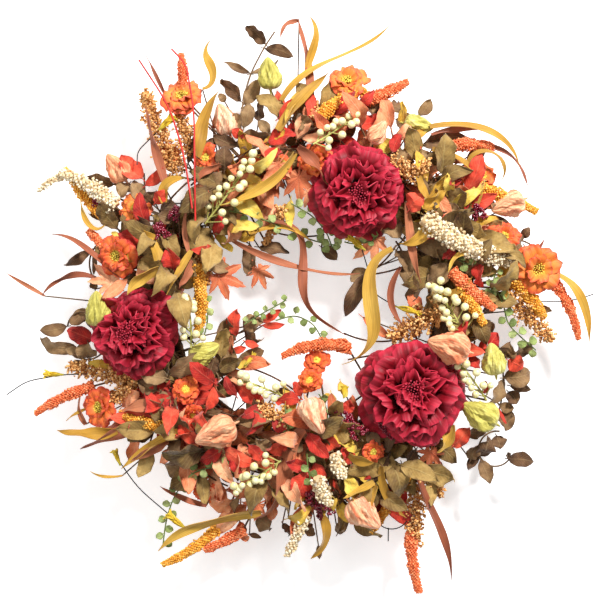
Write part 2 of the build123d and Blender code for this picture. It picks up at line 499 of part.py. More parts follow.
def peony(x, z, radius, lean_x, lean_z, depth):
    """Head with a pit for its centre, the centre itself, the calyx, and the stem into the ring."""
    frame = head_frame(x, z, lean_x, lean_z, depth)
    height, pit, pit_depth, neck = 0.78 * radius, 0.2 * radius, 0.24 * radius, 0.16 * radius
    head = turned(
        frame,
        Line((0, 0), (neck, 0)), Line((neck, 0), (0.86 * radius, 0.12 * height)),
        arc((0.86 * radius, 0.12 * height), (radius, 0.34 * height), (0.93 * radius, 0.6 * height)),
        arc((0.93 * radius, 0.6 * height), (0.62 * radius, 0.9 * height), (pit, height)),
        Line((pit, height), (pit, height - pit_depth)),
        Line((pit, height - pit_depth), (0, height - pit_depth)),
        Line((0, height - pit_depth), (0, 0)),
    )
    core = frame.location * Pos(0, 0, height - pit_depth / 2) * Cylinder(pit - 0.3, pit_depth - 0.6)
    calyx = frame.location * Pos(0, 0, -4.3) * Cone(0.1 * radius, 0.34 * radius, 8)
    foot = in_ring(x, z, 0)
    top = frame.location.position + facing(lean_x, lean_z) * -8.6
    stem = tube(2.2, top, (top + foot) * 0.5 + Vector(0, 3, 2), foot)
    return head, core, calyx, stem


def bloom(x, z, radius, lean_x, lean_z, layer):
    """Open flower as a shallow cup with its centre in a pit."""
    back = surface(x, z, layer).Y + 0.2 * radius
    frame = head_frame(x, z, lean_x, lean_z, back)
    height, pit = 0.5 * radius, 0.36 * radius
    petals = turned(
        frame,
        Line((0, 0), (0.3 * radius, 0)), Line((0.3 * radius, 0), (radius, 0.75 * height)),
        Line((radius, 0.75 * height), (0.9 * radius, height)),
        Line((0.9 * radius, height), (pit, 0.6 * height)),
        Line((pit, 0.6 * height), (pit, 0.3 * height)), Line((pit, 0.3 * height), (0, 0.3 * height)),
        Line((0, 0.3 * height), (0, 0)),
    )
    core = frame.location * Pos(0, 0, 0.3 * height + 0.14 * radius) * Cylinder(pit - 0.3, 0.26 * radius)
    return petals, core, frame.location.position


def pod(x, z, radius, direction, layer):
    """Papery lantern pod: round at its stalk and drawn out to a tip."""
    at = surface(x, z, layer)
    way = Vector(math.cos(math.radians(direction)), -0.15, math.sin(math.radians(direction))).normalized()
    frame = Plane(origin=at, z_dir=way)
    blunt, low, high = 0.08 * radius, -0.95 * radius, 1.6 * radius
    body = turned(
        frame,
        Line((0, low), (blunt, low)),
        arc((blunt, low), (0.74 * radius, -0.66 * radius), (radius, 0)),
        arc((radius, 0), (0.62 * radius, 0.86 * radius), (blunt, high)),
        Line((blunt, high), (0, high)),
        Line((0, high), (0, low)),
    )
    return body, at + way * low


def berry_spray(x0, z0, x1, z1, count, spread, berry, layer):
    """Berries set round a main twig by the golden angle, each on its own short branch."""
    foot, tip = surface(x0, z0, layer - 1), surface(x1, z1, layer)
    along = (tip - foot).normalized()
    across = along.cross(FRONT).normalized()
    berries, branches = [], []
    for i in range(count):
        share = 0.12 + 0.88 * min((i + 0.8 * abs(spread_of(i, 0.7548))) / (count - 1), 1)
        root = foot + (tip - foot) * max(share - 0.14, 0)
        turn = math.radians(GOLDEN_ANGLE * i + 40 + 45 * spread_of(i, 0.2915))
        reach = spread * (0.35 + 0.75 * abs(spread_of(i))) * (1.2 - 0.55 * share)
        out = across * math.cos(turn) + FRONT * (0.35 + 0.5 * abs(math.sin(turn)))
        centre = foot + (tip - foot) * share + out * reach
        berries.append(Pos(*centre) * Sphere(berry * (0.9 + 0.12 * spread_of(i, 0.37))))
        branches.append((root, centre))
    return berries, branches, foot, tip


def arc_rod(foot, middle, tip, radius, layer):
    points = [surface(*p, layer) for p in (foot, middle, tip)]
    points[0] += Vector(0, LEAF_SINK, 0)
    return tube(radius, *points), points[0]


def stalk(number, at, radius=0.7):
    """Wire from a piece's foot, first backwards and then into the vine ring."""
    foot = in_ring(at.X, at.Z, 9 * spread_of(number))
    middle = (at + foot) * 0.5 + Vector(0, 5 + 3 * spread_of(number, 0.31), 0)
    return tube(radius, at, middle, foot)


def under_a_peony(at, share=0.95):
    """True where a point of the foliage would stand inside one of the three large heads."""
    for x, z, radius, _, _, back in PEONIES.values():
        if at.Y < back + 6 and math.hypot(at.X - x, at.Z - z) < share * radius:
            return True
    return False


def near_a_stem(at, reach=9.0):
    """True where a leaf's foot lies on one of the spray stems."""
    for route in SPRAY_STEMS:
        for (ax, az), (bx, bz) in zip(route, route[1:]):
            length = math.hypot(bx - ax, bz - az)
            share = ((at.X - ax) * (bx - ax) + (at.Z - az) * (bz - az)) / length**2
            share = min(max(share, 0), 1)
            if math.hypot(ax + (bx - ax) * share - at.X, az + (bz - az) * share - at.Z) < reach:
                return True
    return False


# ---- the assembly ----
nodes = {}


def add(name, *solids):
    nodes.setdefault(name, []).extend(solids)


def build_base():
    for i in range(STRAND_COUNT):
        add(f"vine_strand_{i + 1}", vine_strand(2 * math.pi * i / STRAND_COUNT))
    add("vine_core", Rot(90, 0, 0) * Torus(RING_RADIUS, CORE_RADIUS))
    for i in range(TIE_COUNT):
        angle = math.radians(108 + 324 / (TIE_COUNT - 1) * i)
        add("binding_wires", around_bundle(angle, TIE_RADIUS, TIE_WIRE))
    add("hanger_loop", hanger_loop())
    add("hanger_eyes", *hanger_eyes())


def build_flowers():
    for name, sizes in PEONIES.items():
        head, core, calyx, stem = peony(*sizes)
        add(f"peony_{name}_petals", head)
        add(f"peony_{name}_centre", core)
        add(f"peony_{name}_calyx_and_stem", calyx, stem)
    for i, sizes in enumerate(BLOOMS):
        petals, core, back = bloom(*sizes)
        add("orange_bloom_petals", petals)
        add("orange_bloom_centres", core)
        add("stalk_wires_" + sector(back.X, back.Z), stalk(i, back + Vector(0, 0.5, 0), 1.0))
    for name, pods in (("yellow_lantern_pods", YELLOW_PODS), ("peach_lantern_pods", PEACH_PODS)):
        for i, sizes in enumerate(pods):
            body, foot = pod(*sizes)
            add(name, body)
            add("stalk_wires_" + sector(foot.X, foot.Z), stalk(i, foot))


def build_berries():
    sprays = [(name, sizes) for name, group in CREAM_BERRY_SPRAYS.items() for sizes in group]
    for name, sizes in sprays:
        berries, branches, foot, tip = berry_spray(*sizes, berry=4.2, layer=3)
        add("cream_berries_" + name, *berries)
        add("cream_berry_twigs", tube(1.0, foot, (foot + tip) * 0.5 + Vector(2, 1, 0), tip))
        for root, centre in branches:
            add("cream_berry_twigs", tube(0.6, root, (root + centre) * 0.5 + Vector(0, 0.8, 0), centre))
        add("stalk_wires_" + sector(foot.X, foot.Z), stalk(len(name), foot, 1.0))
    for i, sizes in enumerate(BURGUNDY_SPRAYS):
        berries, branches, foot, tip = berry_spray(*sizes, berry=2.0, layer=2)
        add("burgundy_bead_berries", *berries)
        twig = tube(0.7, foot, (foot + tip) * 0.5 + Vector(1, 1, 0), tip)
        add("stalk_wires_" + sector(foot.X, foot.Z), stalk(i, foot), twig)


def build_spikes():
    species = (
        ("cream_blossom_spikes", CREAM_SPIKES, 3), ("mustard_amaranth_spikes", MUSTARD_SPIKES, 2),
        ("orange_amaranth_spikes", ORANGE_SPIKES, 2), ("grain_plumes", GRAIN_PLUMES, 1),
    )
    for name, rods, layer in species:
        for i, (foot, middle, tip, radius) in enumerate(rods):
            rod, at = arc_rod(foot, middle, tip, radius, layer)
            add(name, rod)
            add("stalk_wires_" + sector(at.X, at.Z), stalk(i, at, 1.0))


def build_leaves():
    species = (
        ("brown_leaves", BROWN_LEAVES, 1, True), ("red_leaves", RED_LEAVES, 2, True),
        ("peach_leaves", PEACH_LEAVES, 1, False), ("yellow_leaves", YELLOW_LEAVES, 2, False),
    )
    for name, rows, layer, split in species:
        for i, (x0, z0, x1, z1, width) in enumerate(rows):
            add(name + ("_" + sector(x0, z0) if split else ""), leaf(i, x0, z0, x1, z1, width, layer))
            at = surface(x0, z0, layer) + Vector(0, LEAF_SINK, 0)
            if not near_a_stem(at):
                add("stalk_wires_" + sector(x0, z0), stalk(i, at))
    for i, row in enumerate(MAPLE_LEAVES):
        add("peach_maple_leaves", maple_leaf(i, *row, 2))
    for name, rows, layer in (("mustard_blades", MUSTARD_BLADES, 3), ("rust_blades", RUST_BLADES, 2.5)):
        for i, (width, *route) in enumerate(rows):
            add(name, blade(i, width, route, layer))
            at = surface(*route[0], layer) + Vector(0, LEAF_SINK, 0)
            add("stalk_wires_" + sector(at.X, at.Z), stalk(i, at))


def build_fill():
    """Leaves and twigs set straight into the vine all the way round, under the rest."""
    for i in range(FILL_LEAVES):
        turn = math.radians(GOLDEN_ANGLE * i)
        out = Vector(math.cos(turn), 0, math.sin(turn))
        along = Vector(-math.sin(turn), 0, math.cos(turn))
        foot = out * (RING_RADIUS + 0.8 * BUNDLE_RADIUS * spread_of(i)) + FRONT * 11
        side = 1.15 * spread_of(i, 0.382)
        forward = FRONT * (0.28 + 0.1 * (i % 4))
        way = (out * side + along * (0.75 if i % 3 else -0.75) + forward).normalized()
        size = 1 + 0.25 * spread_of(i, 0.271)
        tip = foot + way * FILL_LENGTH * size
        if not under_a_peony(tip):
            add("olive_fill_leaves", leaf_plate(i, foot, tip, FILL_WIDTH * size))
    for i in range(FILL_TWIGS):
        start = math.radians(360 / FILL_TWIGS * i)
        radius = RING_RADIUS + 34 * spread_of(i, 0.382)
        points = []
        for share in (0, 0.5, 1):
            turn = start + math.radians(34) * share
            reach = radius + 10 * spread_of(i + 7 * share)
            depth = -14 - 26 * math.sin(math.pi * (0.15 + 0.7 * share))
            points.append(Vector(reach * math.cos(turn), depth, reach * math.sin(turn)))
        add("loose_brown_twigs", tube(1.0, *points))


def spray_places():
    """Where each spray points and how far from the ring's centre it reaches."""
    mean, right, top = SPRAY_INNER
    for i in range(SPRAYS):
        turn = math.radians(GOLDEN_ANGLE * i + 20)
        inner = mean + right * math.cos(turn) + top * math.sin(turn)
        yield turn, inner + (SPRAY_OUTER - inner) * ((i * 0.7548) % 1)
    for first, last, near, far, number in THICK_PARTS:
        for i in range(number):
            turn = first + (last - first) * ((i * 0.618) % 1)
            yield math.radians(turn), near + (far - near) * ((i * 0.7548) % 1)


def build_sprays():
    """Leafy stems that spring from the vine, each with leaves of one kind to its left and right."""
    kinds = ("olive_fill_leaves", "peach_leaves", "olive_fill_leaves", "red_leaves", "peach_leaves",
             "olive_fill_leaves", "yellow_leaves")
    for i, (turn, radius) in enumerate(spray_places()):
        kind = kinds[i % len(kinds)]
        beyond = turn + math.radians(17 + 5 * spread_of(i, 0.29)) * (1 if i % 3 else -1)
        foot = in_ring(math.cos(turn), math.sin(turn), 0)
        tip = surface(radius * math.cos(beyond), radius * math.sin(beyond), -0.3 + 2 * ((i * 0.569) % 1))
        if under_a_peony(tip, 1.1):
            continue
        stem = ThreePointArc(foot, (foot + tip) * 0.5 + FRONT * 7, tip)
        add("spray_stems", sweep(Plane(origin=stem @ 0, z_dir=stem % 0) * Circle(0.9), stem))
        for k in range(SPRAY_LEAVES):
            share = (k + 1.4) / (SPRAY_LEAVES + 0.4)
            way = (stem % share).normalized()
            side = way.cross(FRONT).normalized() * (0 if k == SPRAY_LEAVES - 1 else (1 if k % 2 else -1))
            number = SPRAY_LEAVES * i + k
            size = 1 + 0.25 * spread_of(number, 0.271)
            reach = (way * 0.8 + side + FRONT * 0.25 * spread_of(number)).normalized() * (SPRAY_LEAF * size)
            at = stem @ share
            name = f"red_leaves_{sector(at.X, at.Z)}" if kind == "red_leaves" else kind
            if not (under_a_peony(at + reach) or under_a_peony(at + reach * 0.5)):
                add(name, leaf_plate(number, at, at + reach, SPRAY_WIDTHS[kind] * size))


def build_vines_and_wires():
    for v, (route, count, length) in enumerate(GREEN_VINES):
        points = [surface(x, z, 2) for x, z in route]
        add("green_vine_stems", tube(0.7, *points))
        run = Polyline(*points)
        for i in range(count):
            at = run @ ((i + 0.5) / count)
            way = (run % ((i + 0.5) / count)).normalized()
            side = way.cross(FRONT) * (1 if i % 2 else -1) * (0.8 + 0.2 * spread_of(i + v))
            tip = at + (side + way * 0.55).normalized() * length
            add("green_vine_leaves", vine_leaf(i + 3 * v, at, tip, length))
    layers = (("black_wire_tendrils", TENDRILS, 0.6, 2), ("red_wire_twigs", RED_TWIGS, 0.9, 4),
              ("loose_brown_twigs", BROWN_TWIGS, 0.9, 0.5), ("spray_stems", SPRAY_STEMS, 0.9, 0.2))
    for name, routes, radius, layer in layers:
        for route in routes:
            add(name, tube(radius, *[surface(x, z, layer) for x, z in route]))
    for x0, z0, x1, z1, radius in BUDS:
        foot, mouth = surface(x0, z0, 2.5), surface(x1, z1, 2.5)
        frame = Plane(origin=(foot + mouth) * 0.5, z_dir=mouth - foot)
        add("yellow_buds", frame.location * Cone(0.3 * radius, radius, (mouth - foot).length))


build_base()
build_flowers()
build_berries()
build_spikes()
build_leaves()
build_fill()
build_sprays()
build_vines_and_wires()

os.makedirs("parts", exist_ok=True)
for name, solids in nodes.items():
    placed = [TO_FRAME * s for item in solids for s in item.solids()]
    export_step(Compound(children=placed) if len(placed) > 1 else placed[0], f"parts/{name}.step")
print(len(nodes), "nodes", sum(len(s) for s in nodes.values()), "pieces")
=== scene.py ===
"""Looks of the harvest door wreath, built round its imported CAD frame. Metres, +Z up, the front faces -Y."""

import json
import math

import bpy
import numpy as np
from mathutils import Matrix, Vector
from numpy.linalg import norm, svd

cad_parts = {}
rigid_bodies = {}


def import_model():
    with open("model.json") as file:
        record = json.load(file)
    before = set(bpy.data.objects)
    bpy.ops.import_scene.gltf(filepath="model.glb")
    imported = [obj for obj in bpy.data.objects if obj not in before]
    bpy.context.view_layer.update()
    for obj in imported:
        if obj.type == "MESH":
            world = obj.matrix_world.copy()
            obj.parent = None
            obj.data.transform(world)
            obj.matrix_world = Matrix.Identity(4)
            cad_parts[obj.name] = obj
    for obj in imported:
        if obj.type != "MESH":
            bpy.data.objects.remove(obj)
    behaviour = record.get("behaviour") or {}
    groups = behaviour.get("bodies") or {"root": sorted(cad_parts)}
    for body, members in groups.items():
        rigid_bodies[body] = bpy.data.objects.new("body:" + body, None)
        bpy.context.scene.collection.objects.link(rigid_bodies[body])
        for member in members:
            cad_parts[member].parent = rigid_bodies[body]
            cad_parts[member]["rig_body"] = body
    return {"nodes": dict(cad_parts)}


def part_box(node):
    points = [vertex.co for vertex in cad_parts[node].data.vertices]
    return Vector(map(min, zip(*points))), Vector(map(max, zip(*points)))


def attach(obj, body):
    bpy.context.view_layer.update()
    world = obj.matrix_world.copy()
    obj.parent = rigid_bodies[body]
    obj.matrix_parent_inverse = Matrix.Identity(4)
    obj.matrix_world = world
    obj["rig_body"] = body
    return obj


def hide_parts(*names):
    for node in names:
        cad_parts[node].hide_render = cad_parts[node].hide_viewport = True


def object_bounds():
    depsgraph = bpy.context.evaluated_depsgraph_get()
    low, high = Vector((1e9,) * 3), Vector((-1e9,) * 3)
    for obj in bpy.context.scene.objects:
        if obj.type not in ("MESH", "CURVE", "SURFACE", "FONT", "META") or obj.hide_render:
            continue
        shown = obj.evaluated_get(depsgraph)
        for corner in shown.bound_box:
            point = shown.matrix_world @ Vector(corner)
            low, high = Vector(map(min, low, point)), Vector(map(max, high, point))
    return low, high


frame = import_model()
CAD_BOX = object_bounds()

SCENE = bpy.context.scene
RNG = np.random.default_rng(1609)
uniform = RNG.uniform
MM = 0.001
RING_LOW, RING_HIGH = (np.array(corner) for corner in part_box("vine_core"))
RING_CENTRE = (RING_LOW + RING_HIGH) / 2
CORE_THICKNESS = RING_HIGH[1] - RING_LOW[1]
RING_RADIUS = (RING_HIGH[0] - RING_LOW[0] - CORE_THICKNESS) / 2
WALL_GAP = 3 * MM  # the wall stands this far behind the hanger
WALL_REACH = 4.0  # half its width and height
WALL_GLOW = 0.5
ROOM_LIGHT = 0.31
PICTURE_WIDTH = 600 * MM  # at the wreath's front
LENS, SENSOR = 85, 36
FABRIC = 0.45 * MM  # thickness of leaves and blades
PETAL, PEONY_PETAL = 0.4 * MM, 0.8 * MM  # thickness of petals
FULL_TURN = 2 * math.pi
GOLDEN_TURN = 2.39996  # spreads what goes round a stem or a disc evenly
BLACK, WHITE = (0, 0, 0), (1, 1, 1)
POINT_VALUES = ("along", "across", "tint")  # what each point of a piece carries for its material


# ---- small vector tools ----
def unit(v):
    v = np.asarray(v, float)
    return v / np.maximum(norm(v, axis=-1, keepdims=True), 1e-12)


def wave(x, *parts):
    """Smooth wander between about -1 and 1, from a few sines with the given (rate, phase) pairs."""
    return sum(np.sin(rate * x + phase) for rate, phase in parts) / len(parts)


def phases(count=None):
    """Random starts for the waves of one shape."""
    return uniform(0, 6.28, count)


def sides_of(axis):
    """Two unit vectors square to an axis and to each other."""
    axis = unit(axis)
    other = np.array([0.0, 0.0, 1.0]) if abs(axis[2]) < 0.8 else np.array([1.0, 0.0, 0.0])
    first = unit(np.cross(other, axis))
    return first, np.cross(axis, first)


def towards(first, second, turn):
    """What lies at each turn from the first of two square vectors towards the second."""
    return first * np.cos(turn)[..., None] + second * np.sin(turn)[..., None]


def turns(count):
    """Turns spaced evenly round a circle."""
    return np.linspace(0, FULL_TURN, count, endpoint=False)


def sheet_places(rows, columns):
    """Where the points of a sheet lie: from foot 0 to tip 1, and from edge -1 to edge 1."""
    return np.meshgrid(np.linspace(0, 1, rows), np.linspace(-1, 1, columns), indexing="ij")


# ---- reading the CAD solids ----
def solids_of(node):
    """The separate solids of a CAD node, each as (points, triangles) with coincident points joined."""
    mesh = frame["nodes"][node].data
    mesh.calc_loop_triangles()
    co = np.empty(len(mesh.vertices) * 3)
    mesh.vertices.foreach_get("co", co)
    corners = np.empty(len(mesh.loop_triangles) * 3, np.int64)
    mesh.loop_triangles.foreach_get("vertices", corners)
    keys = np.round(co.reshape(-1, 3) / 1e-7).astype(np.int64)
    _, first, same = np.unique(keys, axis=0, return_index=True, return_inverse=True)
    points = co.reshape(-1, 3)[first]
    triangles = same.ravel()[corners].reshape(-1, 3)
    label = np.arange(len(points))
    while True:
        low = label[triangles].min(axis=1)
        new = label.copy()
        for corner in range(3):
            np.minimum.at(new, triangles[:, corner], low)
        new = new[new]
        if (new == label).all():
            break
        label = new
    found = []
    owner = label[triangles[:, 0]]
    for value in np.unique(owner):
        own = triangles[owner == value]
        used, local = np.unique(own, return_inverse=True)
        found.append((points[used], local.reshape(-1, 3)))
    return found


def resample(line, count):
    """Points spaced evenly along a polyline."""
    steps = np.r_[0, np.cumsum(norm(np.diff(line, axis=0), axis=1))]
    at = np.linspace(0, steps[-1], count)
    return np.stack([np.interp(at, steps, line[:, k]) for k in range(3)], axis=1)


def scatter_on(line, count):
    """Places spread along a line of evenly spaced points, each as a share of its length and as a point."""
    at = (np.arange(count) + uniform(size=count)) / count
    return at, np.stack([np.interp(at, np.linspace(0, 1, len(line)), line[:, k]) for k in range(3)], axis=1)


def length_of(line):
    return norm(np.diff(line, axis=0), axis=1).sum()


def flat_sheet(points, triangles, stations=24):
    """A flat leaf or blade: its left and right edges from foot to tip, and its normal to the front."""
    centre = points.mean(axis=0)
    normal = svd(points - centre, full_matrices=False)[2][2]
    if normal[1] > 0:
        normal = -normal
    front = (points - centre) @ normal > 0
    faces = triangles[front[triangles].all(axis=1)]
    edges = {(a, b) for face in faces for a, b in zip(face, np.roll(face, -1))}
    follow = {a: b for a, b in edges if (b, a) not in edges}
    ring = [next(iter(sorted(follow)))]
    while follow[ring[-1]] != ring[0] and len(ring) <= len(follow):
        ring.append(follow[ring[-1]])
    ring = points[ring]
    before, after = unit(ring - np.roll(ring, 1, axis=0)), unit(np.roll(ring, -1, axis=0) - ring)
    turn = np.arctan2(np.cross(before, after) @ normal, (before * after).sum(axis=1))
    pair = int(np.argmax(np.minimum(turn, np.roll(turn, -1))))
    ring, turn = np.roll(ring, -pair - 1, axis=0), np.roll(turn, -pair - 1)
    tip = 1 + int(np.argmax(turn[1:-1]))
    right, left = ring[: tip + 1], ring[tip:][::-1]
    return resample(left, stations), resample(right, stations), normal


def about_axis(points, which):
    """Middle and an own axis of the points (0 longest, 2 shortest); how far along and off it each lies."""
    centre = points.mean(axis=0)
    axis = svd(points - centre, full_matrices=False)[2][which]
    at = (points - centre) @ axis
    return centre, axis, at, norm(points - centre - at[:, None] * axis, axis=1)


def ball(points):
    low, high = points.min(axis=0), points.max(axis=0)
    return (low + high) / 2, (high - low).max() / 2


def turned_axis(points):
    """Axis of a turned solid that is wider than it is deep: its back, its front and its radius."""
    centre, axis, at, off = about_axis(points, 2)
    if axis[1] > 0:
        axis, at = -axis, -at
    return centre + axis * at.min(), centre + axis * at.max(), off.max()


def rod(points, stations=40):
    """Centre line of a bent round rod, from the end nearer the ring, and the rod's radius."""
    centre = points.mean(axis=0)
    along, side, depth = svd(points - centre, full_matrices=False)[2]
    at = (points - centre) @ along
    fits = [np.polyfit(at, (points - centre) @ way, 2) for way in (side, depth)]
    run = np.linspace(at.min(), at.max(), stations)
    line = centre + run[:, None] * along
    miss = np.zeros(len(points))
    for fit, way in zip(fits, (side, depth)):
        line = line + np.polyval(fit, run)[:, None] * way
        miss += ((points - centre) @ way - np.polyval(fit, at)) ** 2
    ends = [abs(np.hypot(*(end - RING_CENTRE)[[0, 2]]) - RING_RADIUS) for end in (line[0], line[-1])]
    return (line if ends[0] <= ends[1] else line[::-1]), float(np.sqrt(np.median(miss)))


def add_object(name, data):
    made = bpy.data.objects.new(name, data)
    SCENE.collection.objects.link(made)
    return made


# ---- gathering small surfaces into one mesh ----
class Pile:
    """Many small surfaces that become one piece, with the values that its material reads at each point."""

    def __init__(self):
        self.points, self.quads, self.values, self.count = [], [], [], 0

    def add(self, points, quads, along, across, tint):
        points = np.asarray(points).reshape(-1, 3)
        self.points.append(points)
        self.quads.append(quads + self.count)
        each = [np.broadcast_to(np.asarray(v, float).ravel(), len(points)) for v in (along, across, tint)]
        self.values.append(np.stack(each, axis=1))
        self.count += len(points)

    def finish(self, node, material, sharp=50):
        """Makes the piece that stands for a CAD node, riding on that node's body."""
        points, quads, values = (np.concatenate(part) for part in (self.points, self.quads, self.values))
        mesh = bpy.data.meshes.new("look_" + node)
        mesh.from_pydata(points.tolist(), [], quads.tolist())
        for name, column in zip(POINT_VALUES, values.T):
            mesh.attributes.new(name, "FLOAT", "POINT").data.foreach_set("value", column.astype(np.float32))
        mesh.shade_smooth()
        mesh.set_sharp_from_angle(angle=math.radians(sharp))
        mesh.materials.append(material)
        piece = add_object("look_" + node, mesh)
        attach(piece, frame["nodes"][node]["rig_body"])
        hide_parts(node)


def grid_quads(index):
    """Faces between the points of a grid, given the grid of their numbers."""
    corners = [index[:-1, :-1], index[:-1, 1:], index[1:, 1:], index[1:, :-1]]
    return np.stack(corners, axis=-1).reshape(-1, 4)


_made_quads = {}


def slab_quads(rows, columns):
    """Faces of a closed thin sheet: front grid, back grid and the rim between them."""
    if (rows, columns) not in _made_quads:
        index = np.arange(rows * columns).reshape(rows, columns)
        front = grid_quads(index)
        edge = np.concatenate([index[0, :-1], index[:-1, -1], index[-1, :0:-1], index[:0:-1, 0]])
        beyond = np.roll(edge, -1)
        back = rows * columns
        rim = np.stack([edge, edge + back, beyond + back, beyond], axis=1)
        _made_quads[rows, columns] = np.concatenate([front, front[:, ::-1] + back, rim])
    return _made_quads[rows, columns]


def add_sheet(pile, grid, thickness, along, across, tint):
    """Adds a thin closed sheet with the given middle surface, a grid of points."""
    rows, columns = grid.shape[:2]
    lean = unit(np.cross(np.gradient(grid, axis=1), np.gradient(grid, axis=0)))
    both = np.concatenate([(grid + lean * thickness * side).reshape(-1, 3) for side in (0.5, -0.5)])
    along, across = (np.tile(np.broadcast_to(v, (rows, columns)).ravel(), 2) for v in (along, across))
    pile.add(both, slab_quads(rows, columns), along, across, tint)


def tube_quads(rings, around):
    """Faces of a tube of rings, with a flat cap at each end; around is even."""
    index = np.arange(rings * around).reshape(rings, around)
    index = np.concatenate([index, index[:, :1]], axis=1)
    wall = grid_quads(index)
    k = np.arange(around // 2 - 1)
    cap = np.stack([k, k + 1, around - 2 - k, around - 1 - k], axis=1)
    return np.concatenate([wall, cap[:, ::-1], cap + (rings - 1) * around])


def add_tube(pile, line, radii, around, tint, bumps=0.0):
    """Adds a round tube along a line. bumps scales each ring's points about the line."""
    tangent = unit(np.gradient(line, axis=0))
    side = np.zeros_like(line)
    side[0] = sides_of(tangent[0])[0]
    for i in range(1, len(line)):
        side[i] = unit(side[i - 1] - tangent[i] * (side[i - 1] @ tangent[i]))
    other = np.cross(tangent, side)
    turn = turns(around)
    reach = np.broadcast_to(np.asarray(radii, float), len(line))[:, None] * (np.ones(around) + bumps)
    grid = line[:, None] + reach[..., None] * towards(side[:, None], other[:, None], turn)
    along = np.repeat(np.linspace(0, 1, len(line)), around)
    pile.add(grid, tube_quads(len(line), around), along, np.tile(np.cos(turn), len(line)), tint)


def grain_shape(cells):
    """Points and faces of a unit ball made from a cube whose sides have cells by cells faces."""
    steps = np.linspace(-1, 1, cells + 1)
    u, v = np.meshgrid(steps, steps, indexing="ij")
    points, quads = [], []
    index = np.arange(u.size).reshape(u.shape)
    face = grid_quads(index.T)
    for axis in range(3):
        for sign in (1, -1):
            side = np.stack([np.full_like(u, sign), u * sign, v], axis=-1).reshape(-1, 3)
            quads.append(face + len(points) * u.size)
            points.append(np.roll(side, axis, axis=1))
    points, same = np.unique(np.round(np.concatenate(points), 9), axis=0, return_inverse=True)
    return unit(np.tan(points * math.pi / 4)), same.ravel()[np.concatenate(quads)]


def add_grains(pile, centres, radii, shape, tint, rough=0.0):
    """Adds a ball-like grain at each centre, each one turned and roughened differently."""
    points, quads = shape
    for i, (centre, radius) in enumerate(zip(centres, radii)):
        first, second = sides_of(RNG.normal(size=3))
        turned = points @ np.stack([first, second, np.cross(first, second)])
        lumps = 1 + rough * RNG.normal(size=(len(points), 1))
        tone = tint if np.isscalar(tint) else tint[i]
        pile.add(centre + turned * lumps * radius, quads, points[:, 2] / 2 + 0.5, points[:, 0], tone)


# ---- materials ----
def evenly(tones, start=0.0, span=1.0):
    """Stops of a ramp through some tones, spaced evenly."""
    return [(start + span * i / (len(tones) - 1), tone) for i, tone in enumerate(tones)]


class Paint:
    """A node material under construction: small wrappers that keep each recipe short."""

    def __init__(self, name):
        self.material = bpy.data.materials.new(name)
        self.material.use_nodes = True
        self.nodes, self.links = self.material.node_tree.nodes, self.material.node_tree.links
        self.shader = self.nodes["Principled BSDF"]
        self.place = self.node("ShaderNodeTexCoord").outputs["Object"]

    def node(self, kind, inputs=None, **settings):
        made = self.nodes.new(kind)
        for key, value in settings.items():
            setattr(made, key, value)
        for key, value in (inputs or {}).items():
            self.put(made.inputs[key], value)
        return made

    def put(self, socket, value):
        if isinstance(value, bpy.types.NodeSocket):
            self.links.new(value, socket)
        else:
            socket.default_value = value

    def value(self, name):
        return self.node("ShaderNodeAttribute", attribute_name=name).outputs["Fac"]

    def values(self):
        return (self.value(name) for name in POINT_VALUES)

    def noise(self, scale, detail=3.0, vector=None, roughness=0.55):
        inputs = {"Scale": scale, "Detail": detail, "Roughness": roughness, "Vector": vector or self.place}
        return self.node("ShaderNodeTexNoise", inputs).outputs["Fac"]

    def math(self, operation, a, b=0.0, clamp=False):
        return self.node("ShaderNodeMath", {0: a, 1: b}, operation=operation, use_clamp=clamp).outputs[0]

    def times(self, a, b):
        return self.math("MULTIPLY", a, b)

    def plus(self, a, b):
        return self.math("ADD", a, b)

    def minus(self, a, b, clamp=False):
        return self.math("SUBTRACT", a, b, clamp)

    def ramp(self, factor, *stops):
        made = self.node("ShaderNodeValToRGB", {"Fac": factor})
        elements = made.color_ramp.elements
        while len(elements) < len(stops):
            elements.new(0.5)
        for element, (position, colour) in zip(elements, stops):
            element.position = position
            element.color = (*colour, 1)
        return made.outputs["Color"]

    def rise(self, factor, start, end):
        """0 up to start and 1 from end on."""
        return self.ramp(factor, (start, BLACK), (end, WHITE))

    def fall(self, factor, start, end):
        """1 up to start and 0 from end on."""
        return self.ramp(factor, (start, WHITE), (end, BLACK))

    def mix(self, factor, a, b, share=None):
        """Goes from a to b with the factor, of which only a share may be used."""
        factor = factor if share is None else self.times(factor, share)
        made = self.node("ShaderNodeMix", data_type="RGBA")
        self.put(made.inputs[0], factor)
        for socket, value in ((6, a), (7, b)):
            self.put(made.inputs[socket], (*value, 1) if isinstance(value, tuple) else value)
        return made.outputs[2]

    def vector(self, *parts):
        return self.node("ShaderNodeCombineXYZ", dict(enumerate(parts))).outputs[0]

    def bump(self, height, distance, strength=1.0):
        made = self.node("ShaderNodeBump", {"Height": height, "Distance": distance, "Strength": strength})
        previous = self.shader.inputs["Normal"]
        if previous.is_linked:
            self.links.new(previous.links[0].from_socket, made.inputs["Normal"])
        self.links.new(made.outputs["Normal"], previous)

    def finish(self, colour, roughness, **fixed):
        self.put(self.shader.inputs["Base Color"], colour)
        self.put(self.shader.inputs["Roughness"], roughness)
        for key, value in fixed.items():
            self.shader.inputs[key.replace("_", " ").title().replace("Ior", "IOR")].default_value = value
        return self.material


